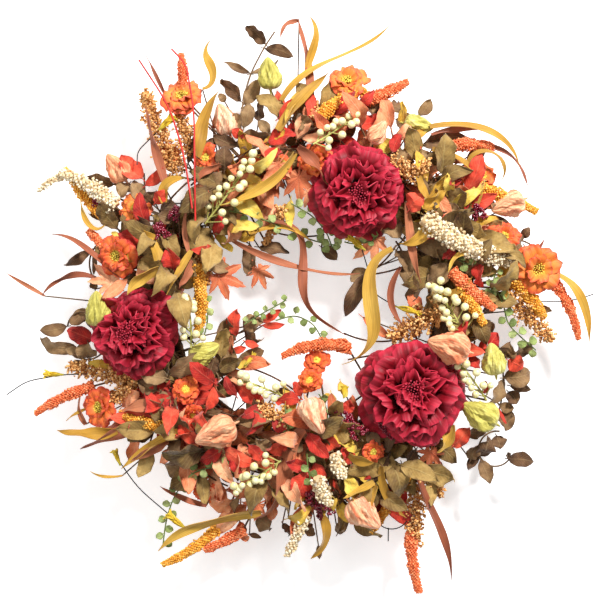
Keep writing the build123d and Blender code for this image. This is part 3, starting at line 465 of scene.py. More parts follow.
def fabric_leaf(name, tones, vein, spots, veins):
    """Printed stiffened fabric: mottled colour, a paler midrib with side veins, and a fine weave."""
    paint = Paint(name)
    along, across, tint = paint.values()
    off = paint.math("ABSOLUTE", across)
    mottle = paint.noise(85, 5, roughness=0.62)
    shade = paint.plus(paint.times(tint, 0.62), paint.times(mottle, 1.1))
    shade = paint.minus(shade, 0.36, clamp=True)
    colour = paint.ramp(shade, *evenly(tones))
    spot = paint.rise(paint.noise(240, 5, roughness=0.7), 0.56, 0.72)
    colour = paint.mix(spot, colour, spots, 0.5)
    worn = paint.rise(paint.times(off, paint.noise(160, 3)), 0.38, 0.6)
    colour = paint.mix(worn, colour, spots, 0.6)
    heel = paint.fall(along, 0.0, 0.3)
    colour = paint.mix(heel, colour, spots, 0.4)
    slant = paint.minus(paint.times(along, veins), paint.times(off, veins * 0.32))
    side = paint.math("ABSOLUTE", paint.math("COSINE", paint.times(slant, math.pi)))
    side = paint.math("POWER", side, 14)
    rib = paint.fall(off, 0.0, 0.1)
    lines = paint.math("MAXIMUM", rib, paint.times(side, 0.4))
    colour = paint.mix(lines, colour, vein, 0.34)
    threads = paint.plus(paint.noise(1500, 2), paint.noise(500, 2))
    paint.bump(lines, 0.35 * MM, 0.9)
    paint.bump(paint.noise(120, 3), 1.6 * MM, 0.7)
    paint.bump(threads, 0.12 * MM, 0.5)
    rough = paint.plus(0.55, paint.times(mottle, 0.25))
    return paint.finish(colour, rough, sheen_weight=0.25, sheen_roughness=0.45, specular_ior_level=0.3)


def fibre_blade(name, tones, dark):
    """Long grass blade of dyed fabric with fibres along it and darker worn edges."""
    paint = Paint(name)
    along, across, tint = paint.values()
    fibre_place = paint.vector(paint.times(across, 14), paint.times(along, 5), paint.times(tint, 60))
    fibres = paint.noise(1.0, 4, fibre_place)
    mottle = paint.noise(38, 3)
    shade = paint.plus(paint.times(tint, 0.6), paint.times(mottle, 0.6))
    shade = paint.minus(shade, 0.12, clamp=True)
    colour = paint.ramp(shade, *evenly(tones))
    streak = paint.rise(fibres, 0.42, 0.66)
    colour = paint.mix(streak, colour, dark, 0.4)
    rib = paint.fall(paint.math("ABSOLUTE", across), 0.0, 0.14)
    colour = paint.mix(rib, colour, dark, 0.3)
    ends = paint.ramp(along, (0.0, WHITE), (0.22, BLACK), (0.86, BLACK), (1.0, WHITE))
    colour = paint.mix(ends, colour, dark, 0.35)
    paint.bump(fibres, 0.35 * MM, 0.8)
    paint.bump(paint.noise(1300, 2), 0.1 * MM, 0.5)
    rough = paint.plus(0.5, paint.times(fibres, 0.25))
    return paint.finish(colour, rough, sheen_weight=0.2, sheen_roughness=0.4, specular_ior_level=0.35)


def petal_fabric(name, base, body, rim, deep, other=None, streaks=10.0, sheen=0.12):
    """Dyed petal ramped from foot to rim colour, for the peony painted shade at the foot and a painted
    highlight on the rim, with radiating creases in a fine weave.

    other is a second body colour that part of the petals lean to.
    """
    paint = Paint(name)
    along, across, tint = paint.values()
    ray_place = paint.vector(paint.times(across, streaks), paint.times(along, 1.6), paint.times(tint, 40))
    rays = paint.noise(1.0, 4, ray_place)
    # foot, body and rim colours along the petal; for the peony the foot colour is painted shade and the rim
    # colour a painted highlight
    colour = paint.ramp(along, (0.14, base), (0.6, body), (0.84, body), (0.98, rim))
    streak = paint.rise(rays, 0.35, 0.7)
    colour = paint.mix(streak, colour, deep, 0.55)
    lean = paint.times(paint.rise(tint, 0.2, 0.9), 0.9 if other else 0.25)
    if other:
        lean = paint.times(lean, paint.ramp(along, (0.45, (1, 1, 1)), (0.95, (0.15, 0.15, 0.15))))
    colour = paint.mix(lean, colour, other or body)
    # random patches towards the rim colour, which for the peony is its painted highlight colour
    cloud = paint.rise(paint.noise(90, 4), 0.45, 0.75)
    colour = paint.mix(cloud, colour, rim, 0.3)
    paint.bump(rays, 0.8 * MM, 0.9)
    paint.bump(paint.noise(1500, 2), 0.12 * MM, 0.5)
    return paint.finish(colour, 0.55, sheen_weight=sheen, sheen_roughness=0.35, specular_ior_level=0.35)


def crumb(name, tones, scale=420.0, roughness=0.75):
    """Loose coated crumbs: each its own tone, pitted all over."""
    paint = Paint(name)
    along, tint = paint.value("along"), paint.value("tint")
    pits = paint.noise(scale, 4, roughness=0.65)
    shade = paint.plus(paint.times(tint, 0.7), paint.times(pits, 0.5))
    shade = paint.minus(paint.plus(shade, paint.times(along, 0.15)), 0.2, clamp=True)
    colour = paint.ramp(shade, *evenly(tones))
    paint.bump(pits, 0.5 * MM, 0.9)
    return paint.finish(colour, roughness, specular_ior_level=0.3)


def berry_skin(name, light, body, dark, roughness, coat):
    """Lacquered berry, paler on one side, with faint speckles and a slightly uneven skin."""
    paint = Paint(name)
    tint = paint.value("tint")
    cloud = paint.noise(130, 3)
    colour = paint.ramp(cloud, (0.3, body), (0.62, light))
    speck = paint.rise(paint.noise(900, 2), 0.62, 0.72)
    colour = paint.mix(speck, colour, dark, 0.35)
    colour = paint.mix(tint, colour, body, 0.3)
    paint.bump(cloud, 0.35 * MM, 0.6)
    paint.bump(paint.noise(1400, 2), 0.05 * MM, 0.6)
    return paint.finish(colour, roughness, coat_weight=coat, coat_roughness=0.15)


def pod_paper(name, tones, vein):
    """Dry papery pod: ribs and a net of veins over creased paper. across holds the share of a turn."""
    paint = Paint(name)
    along, turn, tint = paint.values()
    mottle = paint.noise(70, 5, roughness=0.6)
    shade = paint.plus(paint.times(mottle, 0.9), paint.times(tint, 0.25))
    colour = paint.ramp(paint.minus(shade, 0.1), *evenly(tones, 0.2, 0.6))
    cells = {"Scale": 150.0, "Vector": paint.place}
    net = paint.node("ShaderNodeTexVoronoi", cells, feature="DISTANCE_TO_EDGE").outputs["Distance"]
    lines = paint.fall(net, 0.0, 0.06)
    wave = paint.math("COSINE", paint.times(turn, 6 * math.pi))
    ribs = paint.rise(paint.math("ABSOLUTE", wave), 0.88, 1.0)
    streak_place = paint.vector(paint.times(turn, 40), paint.times(along, 2.2), paint.times(tint, 30))
    streaks = paint.rise(paint.noise(1.0, 4, streak_place, 0.65), 0.47, 0.62)
    colour = paint.mix(streaks, colour, vein, 0.65)
    colour = paint.mix(lines, colour, vein, 0.3)
    colour = paint.mix(ribs, colour, vein, 0.6)
    paint.bump(net, 1.1 * MM, 0.6)
    paint.bump(mottle, 1.4 * MM, 0.7)
    paint.bump(paint.noise(260, 4, roughness=0.65), 0.8 * MM, 0.8)
    return paint.finish(colour, 0.6, sheen_weight=0.15, specular_ior_level=0.35)


def bark(name, dark, body, light, scale=1.0):
    """Dry vine bark: long cracks, flaking lighter strips and fine grain."""
    paint = Paint(name)
    coarse = paint.noise(140 * scale, 5, roughness=0.65)
    fine = paint.noise(900 * scale, 4, roughness=0.7)
    colour = paint.ramp(coarse, (0.32, dark), (0.52, body), (0.74, light))
    colour = paint.mix(fine, colour, dark, 0.45)
    paint.bump(coarse, 1.2 * MM, 0.9)
    paint.bump(fine, 0.3 * MM, 0.7)
    return paint.finish(colour, paint.plus(0.7, paint.times(fine, 0.2)), specular_ior_level=0.25)


def coated(name, body, dark, roughness, metallic=0.0, bump=0.2, scale=500.0):
    """Painted, taped or bare wire and moulded plastic, scuffed in places."""
    paint = Paint(name)
    wear = paint.noise(scale, 4, roughness=0.65)
    patch = paint.noise(scale / 7, 3)
    colour = paint.mix(paint.rise(patch, 0.35, 0.7), body, dark)
    colour = paint.mix(wear, colour, dark, 0.4)
    paint.bump(wear, bump * MM, 0.6)
    rough = paint.plus(roughness - 0.1, paint.times(wear, 0.2))
    return paint.finish(colour, rough, metallic=metallic)


# ---- surfaces of leaves, blades and petals ----
def add_leaf(pile, left, right, normal, look, stalk_share, rows=12, columns=7):
    """A pointed oval from a CAD leaf's foot to its tip, curled, twisted, folded on its rib and wavy."""
    foot, tip = (left[0] + right[0]) / 2, (left[-1] + right[-1]) / 2
    length, way = norm(tip - foot), unit(tip - foot)
    side = np.cross(way, normal)
    half = norm(right - left, axis=1).max() / 2 * look["widen"] * uniform(0.88, 1.16)
    t, u = sheet_places(rows, columns)
    shape = t ** look["belly"] * (1 - t) ** 0.75
    width = half * np.maximum(shape / shape.max(), 0.3 * MM / half)
    droop, fold = look["droop"] * uniform(-0.7, 1.3), look["fold"] * uniform(-0.25, 1.5)
    sway, twist = uniform(-0.09, 0.09), RNG.normal(0, look["twist"]) * t**1.5
    ripple, phase = look["ripple"] * half, phases(3)
    bend = length * droop * (np.sin(math.pi * t**1.3) - 0.5 * t**2)
    lift = fold * np.abs(u) * width + ripple * u * np.abs(u) * np.sin(9 * t + phase[0]) * np.sqrt(t)
    lift = lift + 0.6 * ripple * u**2 * np.sin(16 * t + phase[1])
    lift = lift + 0.25 * ripple * np.sin(21 * t + 4 * u + phase[2])
    aside = u * width * np.cos(twist) - lift * np.sin(twist) + sway * length * np.sin(math.pi * t)
    rise = bend + u * width * np.sin(twist) + lift * np.cos(twist)
    start = foot + way * length * stalk_share
    grid = (start + (t * length * (1 - stalk_share))[..., None] * way + aside[..., None] * side
            + rise[..., None] * normal)
    tint = uniform()
    add_sheet(pile, grid, look["thickness"], t, u, tint)
    stalk = np.linspace(0, 1, 4)[:, None] * (grid[1].mean(axis=0) - foot) + foot
    add_tube(pile, stalk, look["stalk"], 6, tint)


LEAF_LOOKS = {
    "broad": dict(
        widen=1.2, belly=0.7, droop=0.2, fold=0.42, ripple=0.3, twist=0.45,
        thickness=0.5 * MM, stalk=0.55 * MM),
    "narrow": dict(
        widen=1.22, belly=0.75, droop=0.24, fold=0.42, ripple=0.32, twist=0.6,
        thickness=FABRIC, stalk=0.5 * MM),
    "round": dict(
        widen=1.15, belly=0.55, droop=0.12, fold=0.3, ripple=0.1, twist=0.3,
        thickness=0.6 * MM, stalk=0.4 * MM),
}


def leaves(node, material, look, stalk_share=0.138):
    pile = Pile()
    for points, triangles in solids_of(node):
        add_leaf(pile, *flat_sheet(points, triangles), LEAF_LOOKS[look], stalk_share)
    pile.finish(node, material)


# Turn of each lobe from the leaf's tip, in degrees, and its length
MAPLE_LOBES = ((0, 1.0), (40, 0.9), (-40, 0.9), (84, 0.66), (-84, 0.66), (128, 0.36), (-128, 0.36))
LOBE_SPREAD = 27.0  # half angle of a lobe, degrees


def maple_leaves(node, material, rows=11, columns=101):
    """Leaves with pointed lobes joined round the top of a long stalk, each lobe folded along its own rib."""
    pile = Pile()
    turn = np.linspace(-150, 150, columns)
    lobe = np.stack([np.abs(turn - angle) / LOBE_SPREAD for angle, _ in MAPLE_LOBES])
    longest = np.array([[length] for _, length in MAPLE_LOBES])
    reach = (longest * (0.3 + 0.7 * np.clip(1 - lobe, 0, 1) ** 1.25)).max(axis=0)
    off = np.clip(lobe.min(axis=0), 0, 1)
    for points, triangles in solids_of(node):
        left, right, normal = flat_sheet(points, triangles)
        foot = (left[0] + right[0]) / 2
        tip = points[np.argmax(norm(points - foot, axis=1))]
        way, heart = unit(tip - foot), foot + 0.36 * (tip - foot)
        side, size = np.cross(way, normal), 0.64 * norm(tip - foot)
        t = np.linspace(0.02, 1, rows)[:, None]
        saw = 1 + 0.05 * np.sin(turn * uniform(0.75, 0.95) + phases()) * (off < 0.8)
        far = size * reach * saw * t
        angle = np.radians(turn) * (1 + 0.05 * RNG.normal()) + 0.12 * t * RNG.normal()
        phase = phases(2)
        rise = 0.16 * far * off - 0.32 * uniform(0.3, 1.2) * far**2 / size
        rise = rise + 0.07 * far * np.sin(3 * angle + phase[0])
        rise = rise + 0.035 * far * np.sin(11 * angle + phase[1])
        grid = (heart + (far * np.cos(angle))[..., None] * way + (far * np.sin(angle))[..., None] * side
                + rise[..., None] * normal)
        tint = uniform()
        add_sheet(pile, grid, FABRIC, t, off * np.sign(np.sin(angle)), tint)
        add_tube(pile, np.linspace(0, 1, 6)[:, None] * (heart - foot) + foot, 0.8 * MM, 6, tint)
    pile.finish(node, material)


def blades(node, material, rows=30, columns=5):
    """Ribbons along the CAD blades that twist, ripple and curl towards their tips."""
    pile = Pile()
    for points, triangles in solids_of(node):
        left, right, normal = flat_sheet(points, triangles, rows)
        middle = (left + right) / 2
        length = length_of(middle)
        half = np.maximum(norm(right - left, axis=1) / 2 * 1.1, 0.3 * MM)
        tangent, t = unit(np.gradient(middle, axis=0)), np.linspace(0, 1, rows)
        across = np.cross(tangent, normal)
        rate, phase = uniform(2, 5), phases(3)
        twist = 0.85 * np.sin(rate * t + phase[0]) + 0.5 * t * np.sin(2.3 * rate * t + phase[1])
        lift = 0.035 * length * np.sin(math.pi * t) * np.sin(1.6 * rate * t + phase[2])
        middle = middle + lift[:, None] * normal
        turned, face = towards(across, normal, twist), towards(normal, -across, twist)
        u = np.linspace(-1, 1, columns)
        channel = 0.34 * half[:, None] * np.abs(u)
        flat = middle[:, None] + (half[:, None] * u)[..., None] * turned[:, None]
        grid = flat + channel[..., None] * face[:, None]
        add_sheet(pile, grid, FABRIC, t[:, None], u, uniform())
    pile.finish(node, material)


def petal(base, out, up, reach, rise, width, shape):
    """Grid of a petal whose foot is at base and whose rim lies reach out from it and rise up from it."""
    share, u = sheet_places(*shape["grid"])
    length = math.hypot(reach, rise) * 1.06
    lean = math.atan2(reach, rise)
    bend = shape["curl"] * uniform(0.7, 1.3)
    scallop = shape["notch"] * (1 - np.abs(np.cos(u * uniform(3, 5) + uniform(0, 3.14))))
    t = share * (1 - 0.34 * np.abs(u) ** 4 - scallop)
    angle = lean - bend * (1 - 1.9 * t)
    slope = lean - bend * (1 - t)
    x, z = length * t * np.sin(slope), length * t * np.cos(slope)
    half = width / 2 * np.clip(t, 0.02, 1) ** 0.5 * (1.1 - 0.24 * t**3)
    normal = -(out * np.cos(angle)[..., None] - up * np.sin(angle)[..., None])
    phase = phases(4)
    frill = np.sin(4.4 * u + phase[0]) + 0.6 * np.sin(8.2 * u + 1.2 * t + phase[1])
    frill = frill + 0.16 * np.sin(16 * u + phase[2])
    lip = -shape["lip"] * np.clip(share - 0.72, 0, 1) ** 2 / 0.08
    crease = 0.012 * np.sin(23 * u + 5 * t + phase[3]) * t
    off = shape["cup"] * half * u**2 + length * (shape["ruffle"] * share**2 * frill + lip + crease)
    sheet = base + x[..., None] * out + z[..., None] * up + (u * half)[..., None] * np.cross(up, out)
    return sheet + off[..., None] * normal, share, u


def add_petal(pile, grid, t, u, tint, thickness=PETAL):
    add_sheet(pile, grid, thickness, t, u, np.clip(tint + RNG.normal(0, 0.12), 0, 1))


# Rows of peony petals from the outside in: how many, how far out the foot and the rim are and how wide the
# petal is in head radii, how high the rim is in head depths, and how much it ruffles
PEONY_ROWS = (
    (7, 0.12, 1.04, 0.98, 0.16, 0.055), (7, 0.16, 0.98, 0.94, 0.38, 0.07), (7, 0.26, 0.88, 0.90, 0.62, 0.09),
    (7, 0.36, 0.76, 0.82, 0.82, 0.11), (7, 0.38, 0.64, 0.76, 0.95, 0.12), (6, 0.34, 0.52, 0.70, 1.02, 0.13),
    (6, 0.27, 0.41, 0.62, 1.05, 0.13), (5, 0.20, 0.30, 0.54, 1.05, 0.13), (4, 0.13, 0.20, 0.44, 1.02, 0.13),
    (3, 0.05, 0.10, 0.34, 0.96, 0.12),
)


def peony_petals(node, material):
    """Broad wavy petals outside, upright ruffled ones inside, with dark gaps between them that are partly
    painted shade.
    """
    pile = Pile()
    for points, _ in solids_of(node):
        back, front, radius = turned_axis(points)
        depth, up = norm(front - back), unit(front - back)
        first, second = sides_of(up)
        for row, (count, near, far, width, high, ruffle) in enumerate(PEONY_ROWS):
            curl = 0.3 + 0.4 * (far - near)
            shape = dict(grid=(14, 29), curl=curl, notch=0.02, cup=0.3, ruffle=ruffle, lip=0.16)
            for k in range(count):
                out = towards(first, second, FULL_TURN * (k + uniform(-0.3, 0.3)) / count + 2.4 * row)
                low = depth * (0.06 + 0.3 * high * near / far)
                slip = (first * RNG.normal() + second * RNG.normal()) * 0.05 * radius * (far < 0.8)
                base = back + up * low + out * radius * near + slip
                reach = radius * (far * uniform(0.88, 1.06) - near)
                rise = depth * high * uniform(0.9, 1.08) - low
                size = radius * width * uniform(0.8, 1.15)
                out = unit(out + up * RNG.normal(0, 0.08) + np.cross(up, out) * RNG.normal(0, 0.25))
                grid, t, u = petal(base, out, unit(up - out * (up @ out)), reach, rise, size, shape)
                add_petal(pile, grid, t, u, 0.5, PEONY_PETAL)
    pile.finish(node, material, sharp=80)


def stamens(node, material, count, spread, height, tip, thickness=0.35 * MM):
    """Fringe of fine threads with a bead on each, standing out of each flower's pit."""
    pile, bead = Pile(), grain_shape(2)
    for points, _ in solids_of(node):
        back, front, radius = turned_axis(points)
        up = unit(front - back)
        first, second = sides_of(up)
        tall = norm(front - back) * height
        for k in range(count):
            out, share = towards(first, second, GOLDEN_TURN * k), math.sqrt((k + 0.5) / count)
            foot = back + out * radius * 0.55 * share
            end = foot + up * tall * uniform(0.75, 1.1) + out * radius * spread * share
            bow = out * radius * 0.15 * uniform(-1, 1)
            line = np.array([foot, foot * 0.55 + end * 0.45 + bow, end])
            add_tube(pile, resample(line, 5), thickness, 6, 0.2)
            add_grains(pile, [end], [tip * uniform(0.8, 1.25)], bead, 0.9, 0.1)
    pile.finish(node, material)


# Rows of bloom petals from the outside in: how many, how far out and how high the rim is, and the width
BLOOM_ROWS = ((5, 1.14, 0.30, 1.45), (5, 0.98, 0.75, 1.25), (5, 0.62, 1.05, 0.85))


def bloom_petals(node, material):
    """Open blooms: three rows of broad ruffled petals round the pit for the centre."""
    pile = Pile()
    for points, _ in solids_of(node):
        back, front, radius = turned_axis(points)
        depth, up, tone = norm(front - back), unit(front - back), uniform(-0.1, 0.9)
        first, second = sides_of(up)
        for row, (count, far, high, width) in enumerate(BLOOM_ROWS):
            for k in range(count):
                out = towards(first, second, FULL_TURN * (k + uniform(-0.25, 0.25)) / count + 0.63 * row)
                base = back + up * depth * (0.1 + 0.1 * row) + out * radius * 0.16
                reach = radius * far * uniform(0.82, 1.06) - 0.16 * radius
                rise = depth * high * uniform(0.5, 1.15)
                size = radius * width * uniform(0.85, 1.1)
                shape = dict(grid=(9, 17), curl=0.55, notch=0.06, cup=0.12, ruffle=0.1, lip=0.08)
                add_petal(pile, *petal(base, out, up, reach, rise, size, shape), tone)
        add_tube(pile, np.linspace(back, back + up * depth * 0.35, 3), radius * 0.3, 12, tone)
    pile.finish(node, material, sharp=80)


# Folds of a pod's paper: how deep, how many in half a turn, how they climb, and which random phase they take
POD_FOLDS = ((-0.14, 1.5, 2, 1), (-0.14, 3, -4, 2), (-0.11, 5.5, 7, 3), (-0.06, 9, -16, 1))


def lantern_pods(node, material, rings=36, around=90, ribs=6):
    """Papery lanterns: ribbed, creased and drawn out to a slightly twisted tip."""
    pile = Pile()
    for points, _ in solids_of(node):
        centre, way, at, wide = about_axis(points, 0)
        if at[np.argmax(wide)] > (at.max() + at.min()) / 2:
            way, at = -way, -at
        length, radius = at.max() - at.min(), wide.max()
        t = np.linspace(0, 1, rings)
        profile = radius * np.sin(math.pi * t**0.72) ** 0.72 * (1 - 0.28 * t) * 1.16 + 0.6 * MM
        turn = turns(around)
        phase = phases(4)
        angle = turn[None] + 0.5 * t[:, None] + 0.1 * np.sin(5 * t[:, None] + phase[0])
        rib = np.abs(np.cos(ribs / 2 * turn))[None] ** 1.4
        fold = sum(
            deep * np.abs(np.sin(rate * turn + climb * t[:, None] + phase[which]))
            for deep, rate, climb, which in POD_FOLDS)
        crease = fold + 0.012 * RNG.normal(size=(rings, around))
        reach = profile[:, None] * (0.96 + 0.16 * rib + crease * np.sin(math.pi * t)[:, None] ** 0.6)
        first, second = sides_of(way)
        line = centre + (at.min() + t * length)[:, None] * way
        grid = line[:, None] + reach[..., None] * towards(first, second, angle)
        share = np.tile(turn / FULL_TURN, rings)
        pile.add(grid, tube_quads(rings, around), np.repeat(t, around), share, uniform())
        stalk = line[0] - way * np.linspace(-0.5, 5, 4)[:, None] * MM
        add_tube(pile, stalk, np.linspace(1.6, 0.7, 4) * MM, 8, 0.2)
    pile.finish(node, material, sharp=80)


# ---- berries, spikes and plumes ----
def berries(node, material):
    """Slightly flattened lacquered balls, each with a small dark navel."""
    pile, shape, navel = Pile(), grain_shape(6), grain_shape(2)
    for points, _ in solids_of(node):
        centre, radius = ball(points)
        squeeze = 1 - 0.08 * uniform()
        way = unit(RNG.normal(size=3) + np.array([0, -1.2, 0]))
        first, second = sides_of(way)
        turned = shape[0] @ np.stack([first, second, way * squeeze])
        pile.add(centre + turned * radius, shape[1], 0.2, 0, uniform())
        add_grains(pile, [centre + way * radius * squeeze * 0.97], [0.16 * radius], navel, 1.0)
    pile.finish(node, material)


def bead_clusters(node, material, beads=7):
    """Each CAD bead as a tight knot of smaller glossy beads."""
    pile, shape = Pile(), grain_shape(3)
    for points, _ in solids_of(node):
        centre, radius = ball(points)
        ways = unit(RNG.normal(size=(beads, 3)))
        sizes = radius * uniform(0.55, 0.8, beads)
        add_grains(pile, centre + ways * radius * 0.95, sizes, shape, uniform(), 0.03)
    pile.finish(node, material)


def spikes(node, material, grain, density, rough=0.16, loose=0.22, taper=0.5):
    """Rods covered all over in crumbs, thinning towards the tip."""
    pile, shape = Pile(), grain_shape(2)
    for points, _ in solids_of(node):
        line, radius = rod(points)
        length = length_of(line)
        count = int(density * length * radius / (grain * grain))
        at, spot = scatter_on(line, count)
        first, second = sides_of(line[-1] - line[0])
        out = towards(first, second, GOLDEN_TURN * np.arange(count))
        swell = 1 + 0.12 * np.sin(at * length * 260 + phases())
        reach = radius * (1 - taper * at**2.5) * swell * uniform(1 - loose, 1 + loose, count)
        size = grain * uniform(0.75, 1.25, count) * (1 - 0.25 * at)
        add_grains(pile, spot + out * reach[:, None], size, shape, uniform(size=count), rough)
        add_tube(pile, line, radius * 0.8 * (1 - taper * np.linspace(0, 1, len(line)) ** 2.5), 10, 0.0)
    pile.finish(node, material)


def plumes(node, material, grain=1.5 * MM, branch_step=0.7 * MM):
    """Feathery heads of seed: short branches round a main stem, each hung with angular grains."""
    pile, shape = Pile(), grain_shape(1)
    for points, _ in solids_of(node):
        line, radius = rod(points)
        count = max(int(length_of(line) / branch_step), 8)
        at, spot = scatter_on(line, count)
        way = unit(line[-1] - line[0])
        first, second = sides_of(way)
        for i in range(count):
            out = towards(first, second, GOLDEN_TURN * i)
            reach = radius * (1.3 - 0.75 * at[i] ** 1.5) * uniform(0.55, 1.25)
            end = spot[i] + (out + 0.55 * way * uniform(0.4, 1.4)) * reach
            branch = resample(np.array([spot[i], (spot[i] + end) / 2 + way * 0.1 * reach, end]), 4)
            add_tube(pile, branch, 0.35 * MM, 6, 0.1)
            number = int(RNG.integers(7, 11))
            share = np.linspace(0.3, 1.0, number)[:, None]
            seeds = spot[i] + (end - spot[i]) * share + RNG.normal(size=(number, 3)) * 0.95 * MM
            sizes = grain * uniform(0.65, 1.2, number)
            add_grains(pile, seeds, sizes, shape, uniform(size=number), 0.1)
        add_tube(pile, line, 0.7 * MM, 8, 0.1)
    pile.finish(node, material, sharp=100)


# ---- vine ring and buds ----
def vine_hoop(node, material, stations=360, around=16):
    """A vine hoop with knots, a wandering line and splits in its bark."""
    pile = Pile()
    for points, _ in solids_of(node):
        centre = points.mean(axis=0)
        first, second, axis = svd(points - centre, full_matrices=False)[2]
        reach = norm(points - centre - ((points - centre) @ axis)[:, None] * axis, axis=1)
        major, minor = (reach.max() + reach.min()) / 2, (reach.max() - reach.min()) / 2
        turn = turns(stations)
        phase = phases(6)
        out = towards(first, second, turn)
        wander = 0.09 * minor * wave(turn, (7, phase[0]), (13, phase[1]), (23, phase[2]))
        line = centre + out * (major + wander)[:, None]
        round_ = turns(around)
        knots = 0.12 * np.exp(-((((turn * 9 / math.pi + phase[3]) % 2) - 1) / 0.12) ** 2)
        ridges = 0.08 * np.sin(5 * round_[None] + 4 * np.sin(6 * turn + phase[4])[:, None])
        rough = 0.07 * RNG.normal(size=(stations, around))
        thick = minor * (0.9 + knots[:, None] + ridges + rough)
        grid = line[:, None] + thick[..., None] * towards(out[:, None], axis, round_)
        index = np.arange(stations * around).reshape(stations, around)
        quads = grid_quads(np.pad(index, ((0, 1), (0, 1)), mode="wrap").T)
        across = np.tile(np.cos(round_), stations)
        pile.add(grid, quads, np.repeat(turn / FULL_TURN, around), across, uniform())
    pile.finish(node, material)


def buds(node, material):
    """Small trumpet buds with five split lips."""
    pile = Pile()
    for points, _ in solids_of(node):
        centre, way, at, wide = about_axis(points, 0)
        if wide[at > 0].max() < wide[at < 0].max():
            way, at = -way, -at
        length, radius = at.max() - at.min(), wide.max()
        first, second = sides_of(way)
        base = centre + way * at.min()
        for k in range(5):
            out = towards(first, second, FULL_TURN * k / 5)
            shape = dict(grid=(9, 7), curl=0.45, notch=0.05, cup=0.55, ruffle=0.03, lip=0.05)
            foot = base + out * radius * 0.12
            add_petal(pile, *petal(foot, out, way, radius * 0.85, length * 0.96, radius * 1.5, shape), 0.5)
        neck = np.array([base - way * 1.5 * MM, base + way * length * 0.3, base + way * length * 0.5])
        add_tube(pile, neck, np.array([0.25, 0.42, 0.2]) * radius, 8, 0.3)
    pile.finish(node, material)


# ---- paints of this wreath (linear colours) ----
def colour(*percent):
    """Linear colour from display values of red, green and blue in percent."""
    shares = [value / 100 for value in percent]
    return tuple(c / 12.92 if c <= 0.04045 else ((c + 0.055) / 1.055) ** 2.4 for c in shares)


def colours(*tones):
    return [colour(*tone) for tone in tones]


BARK = bark("vine_bark", *colours((16, 10, 6), (38, 26, 16), (58, 44, 30)))
TWIG = bark("twig_bark", *colours((20, 12, 8), (40, 27, 18), (56, 42, 28)), 1.6)
TAPE = coated("floral_tape", *colours((50, 37, 22), (26, 18, 11)), 0.65, bump=0.3, scale=420)
TIE_WIRE = coated("tie_wire", *colours((45, 33, 20), (20, 14, 9)), 0.5)
STEEL = coated("hanger_wire", *colours((72, 71, 69), (50, 48, 46)), 0.35, metallic=1.0, bump=0.05)
BLACK_WIRE = coated("black_wire", *colours((10, 8, 7), (3, 3, 3)), 0.45)
RED_WIRE = coated("red_wire", *colours((86, 10, 3), (66, 5, 2)), 0.55)
PALE_TWIG = coated("pale_twig", *colours((80, 79, 46), (62, 60, 30)), 0.55)
GREEN_STEM = coated("green_stem", *colours((44, 52, 24), (26, 32, 14)), 0.55)
# peony petals: painted shade (11, 0, 2) at each petal's foot and a painted highlight (82, 17, 27) at its rim
PEONY = petal_fabric("peony", *colours((11, 0, 2), (54, 0, 8), (82, 17, 27), (26, 0, 3)), sheen=0.06)
PEONY_CENTRE = crumb("peony_centre", colours((34, 0, 7), (62, 8, 18), (85, 30, 38)))
BLOOM = petal_fabric("bloom", *colours((96, 78, 28), (93, 45, 20), (88, 32, 24), (82, 25, 12), (97, 66, 26)))
BLOOM_CENTRE = crumb("bloom_centre", colours((35, 20, 8), (85, 72, 22), (96, 90, 42)))
YELLOW_POD = pod_paper("yellow_pod", colours((66, 62, 22), (85, 81, 42), (95, 93, 66)), colour(60, 55, 20))
PEACH_POD = pod_paper("peach_pod", colours((90, 58, 40), (97, 76, 58), (100, 91, 78)), colour(82, 36, 20))
CREAM_BERRY = berry_skin("cream_berry", *colours((97, 94, 75), (90, 86, 60), (62, 52, 26)), 0.35, 0.25)
BURGUNDY = berry_skin("burgundy_bead", *colours((58, 8, 20), (40, 3, 12), (16, 1, 5)), 0.28, 0.5)
CREAM_CRUMB = crumb("cream_blossom", colours((84, 70, 50), (96, 90, 76), (100, 98, 91)))
MUSTARD_CRUMB = crumb("mustard_amaranth", colours((86, 55, 14), (97, 71, 26), (100, 85, 48)))
ORANGE_CRUMB = crumb("orange_amaranth", colours((85, 38, 20), (95, 52, 32), (100, 70, 50)))
GRAIN = crumb("brown_grain", colours((72, 46, 23), (93, 69, 41), (100, 88, 65)))
# Fabric leaves: tones from dark to light, then the veins and the worn spots
LEAF_TONES = {
    "brown": (((25, 15, 9), (41, 28, 17), (56, 43, 28), (69, 56, 39)), (68, 58, 40), (25, 15, 9)),
    "olive": (((28, 18, 10), (47, 36, 18), (65, 52, 28), (80, 67, 41)), (74, 66, 42), (34, 20, 10)),
    "red": (((46, 6, 7), (74, 15, 11), (88, 28, 18), (93, 44, 30)), (94, 50, 38), (44, 5, 6)),
    "peach": (((72, 30, 18), (86, 46, 28), (92, 60, 42), (97, 78, 60)), (97, 80, 64), (66, 26, 16)),
    "yellow": (((62, 42, 12), (82, 62, 18), (90, 76, 30), (95, 86, 48)), (95, 88, 56), (56, 36, 12)),
    "green": (((40, 47, 22), (58, 65, 36), (76, 80, 54)), (74, 78, 56), (36, 33, 17)),
}
LEAF = {
    kind: fabric_leaf(
        kind + "_leaf", colours(*tones), colour(*vein), colour(*spots), veins=4 if kind == "green" else 9)
    for kind, (tones, vein, spots) in LEAF_TONES.items()}
MUSTARD_BLADE = fibre_blade(
    "mustard_blade", colours((58, 42, 13), (80, 60, 19), (90, 74, 34)), colour(48, 33, 11))
RUST_BLADE = fibre_blade("rust_blade", colours((46, 22, 14), (68, 38, 25), (84, 55, 38)), colour(38, 17, 11))
BUD = petal_fabric("yellow_bud", *colours((62, 62, 20), (92, 78, 18), (96, 86, 30), (74, 52, 10)))
WALL = coated("wall", *colours((99, 99, 99), (98.5, 98.5, 98.5)), 0.9, bump=0.02, scale=60)


def paint_cad(node, material):
    """Gives a CAD node that is shown as it is its finish."""
    slots = frame["nodes"][node].data.materials
    slots.clear()
    slots.append(material)


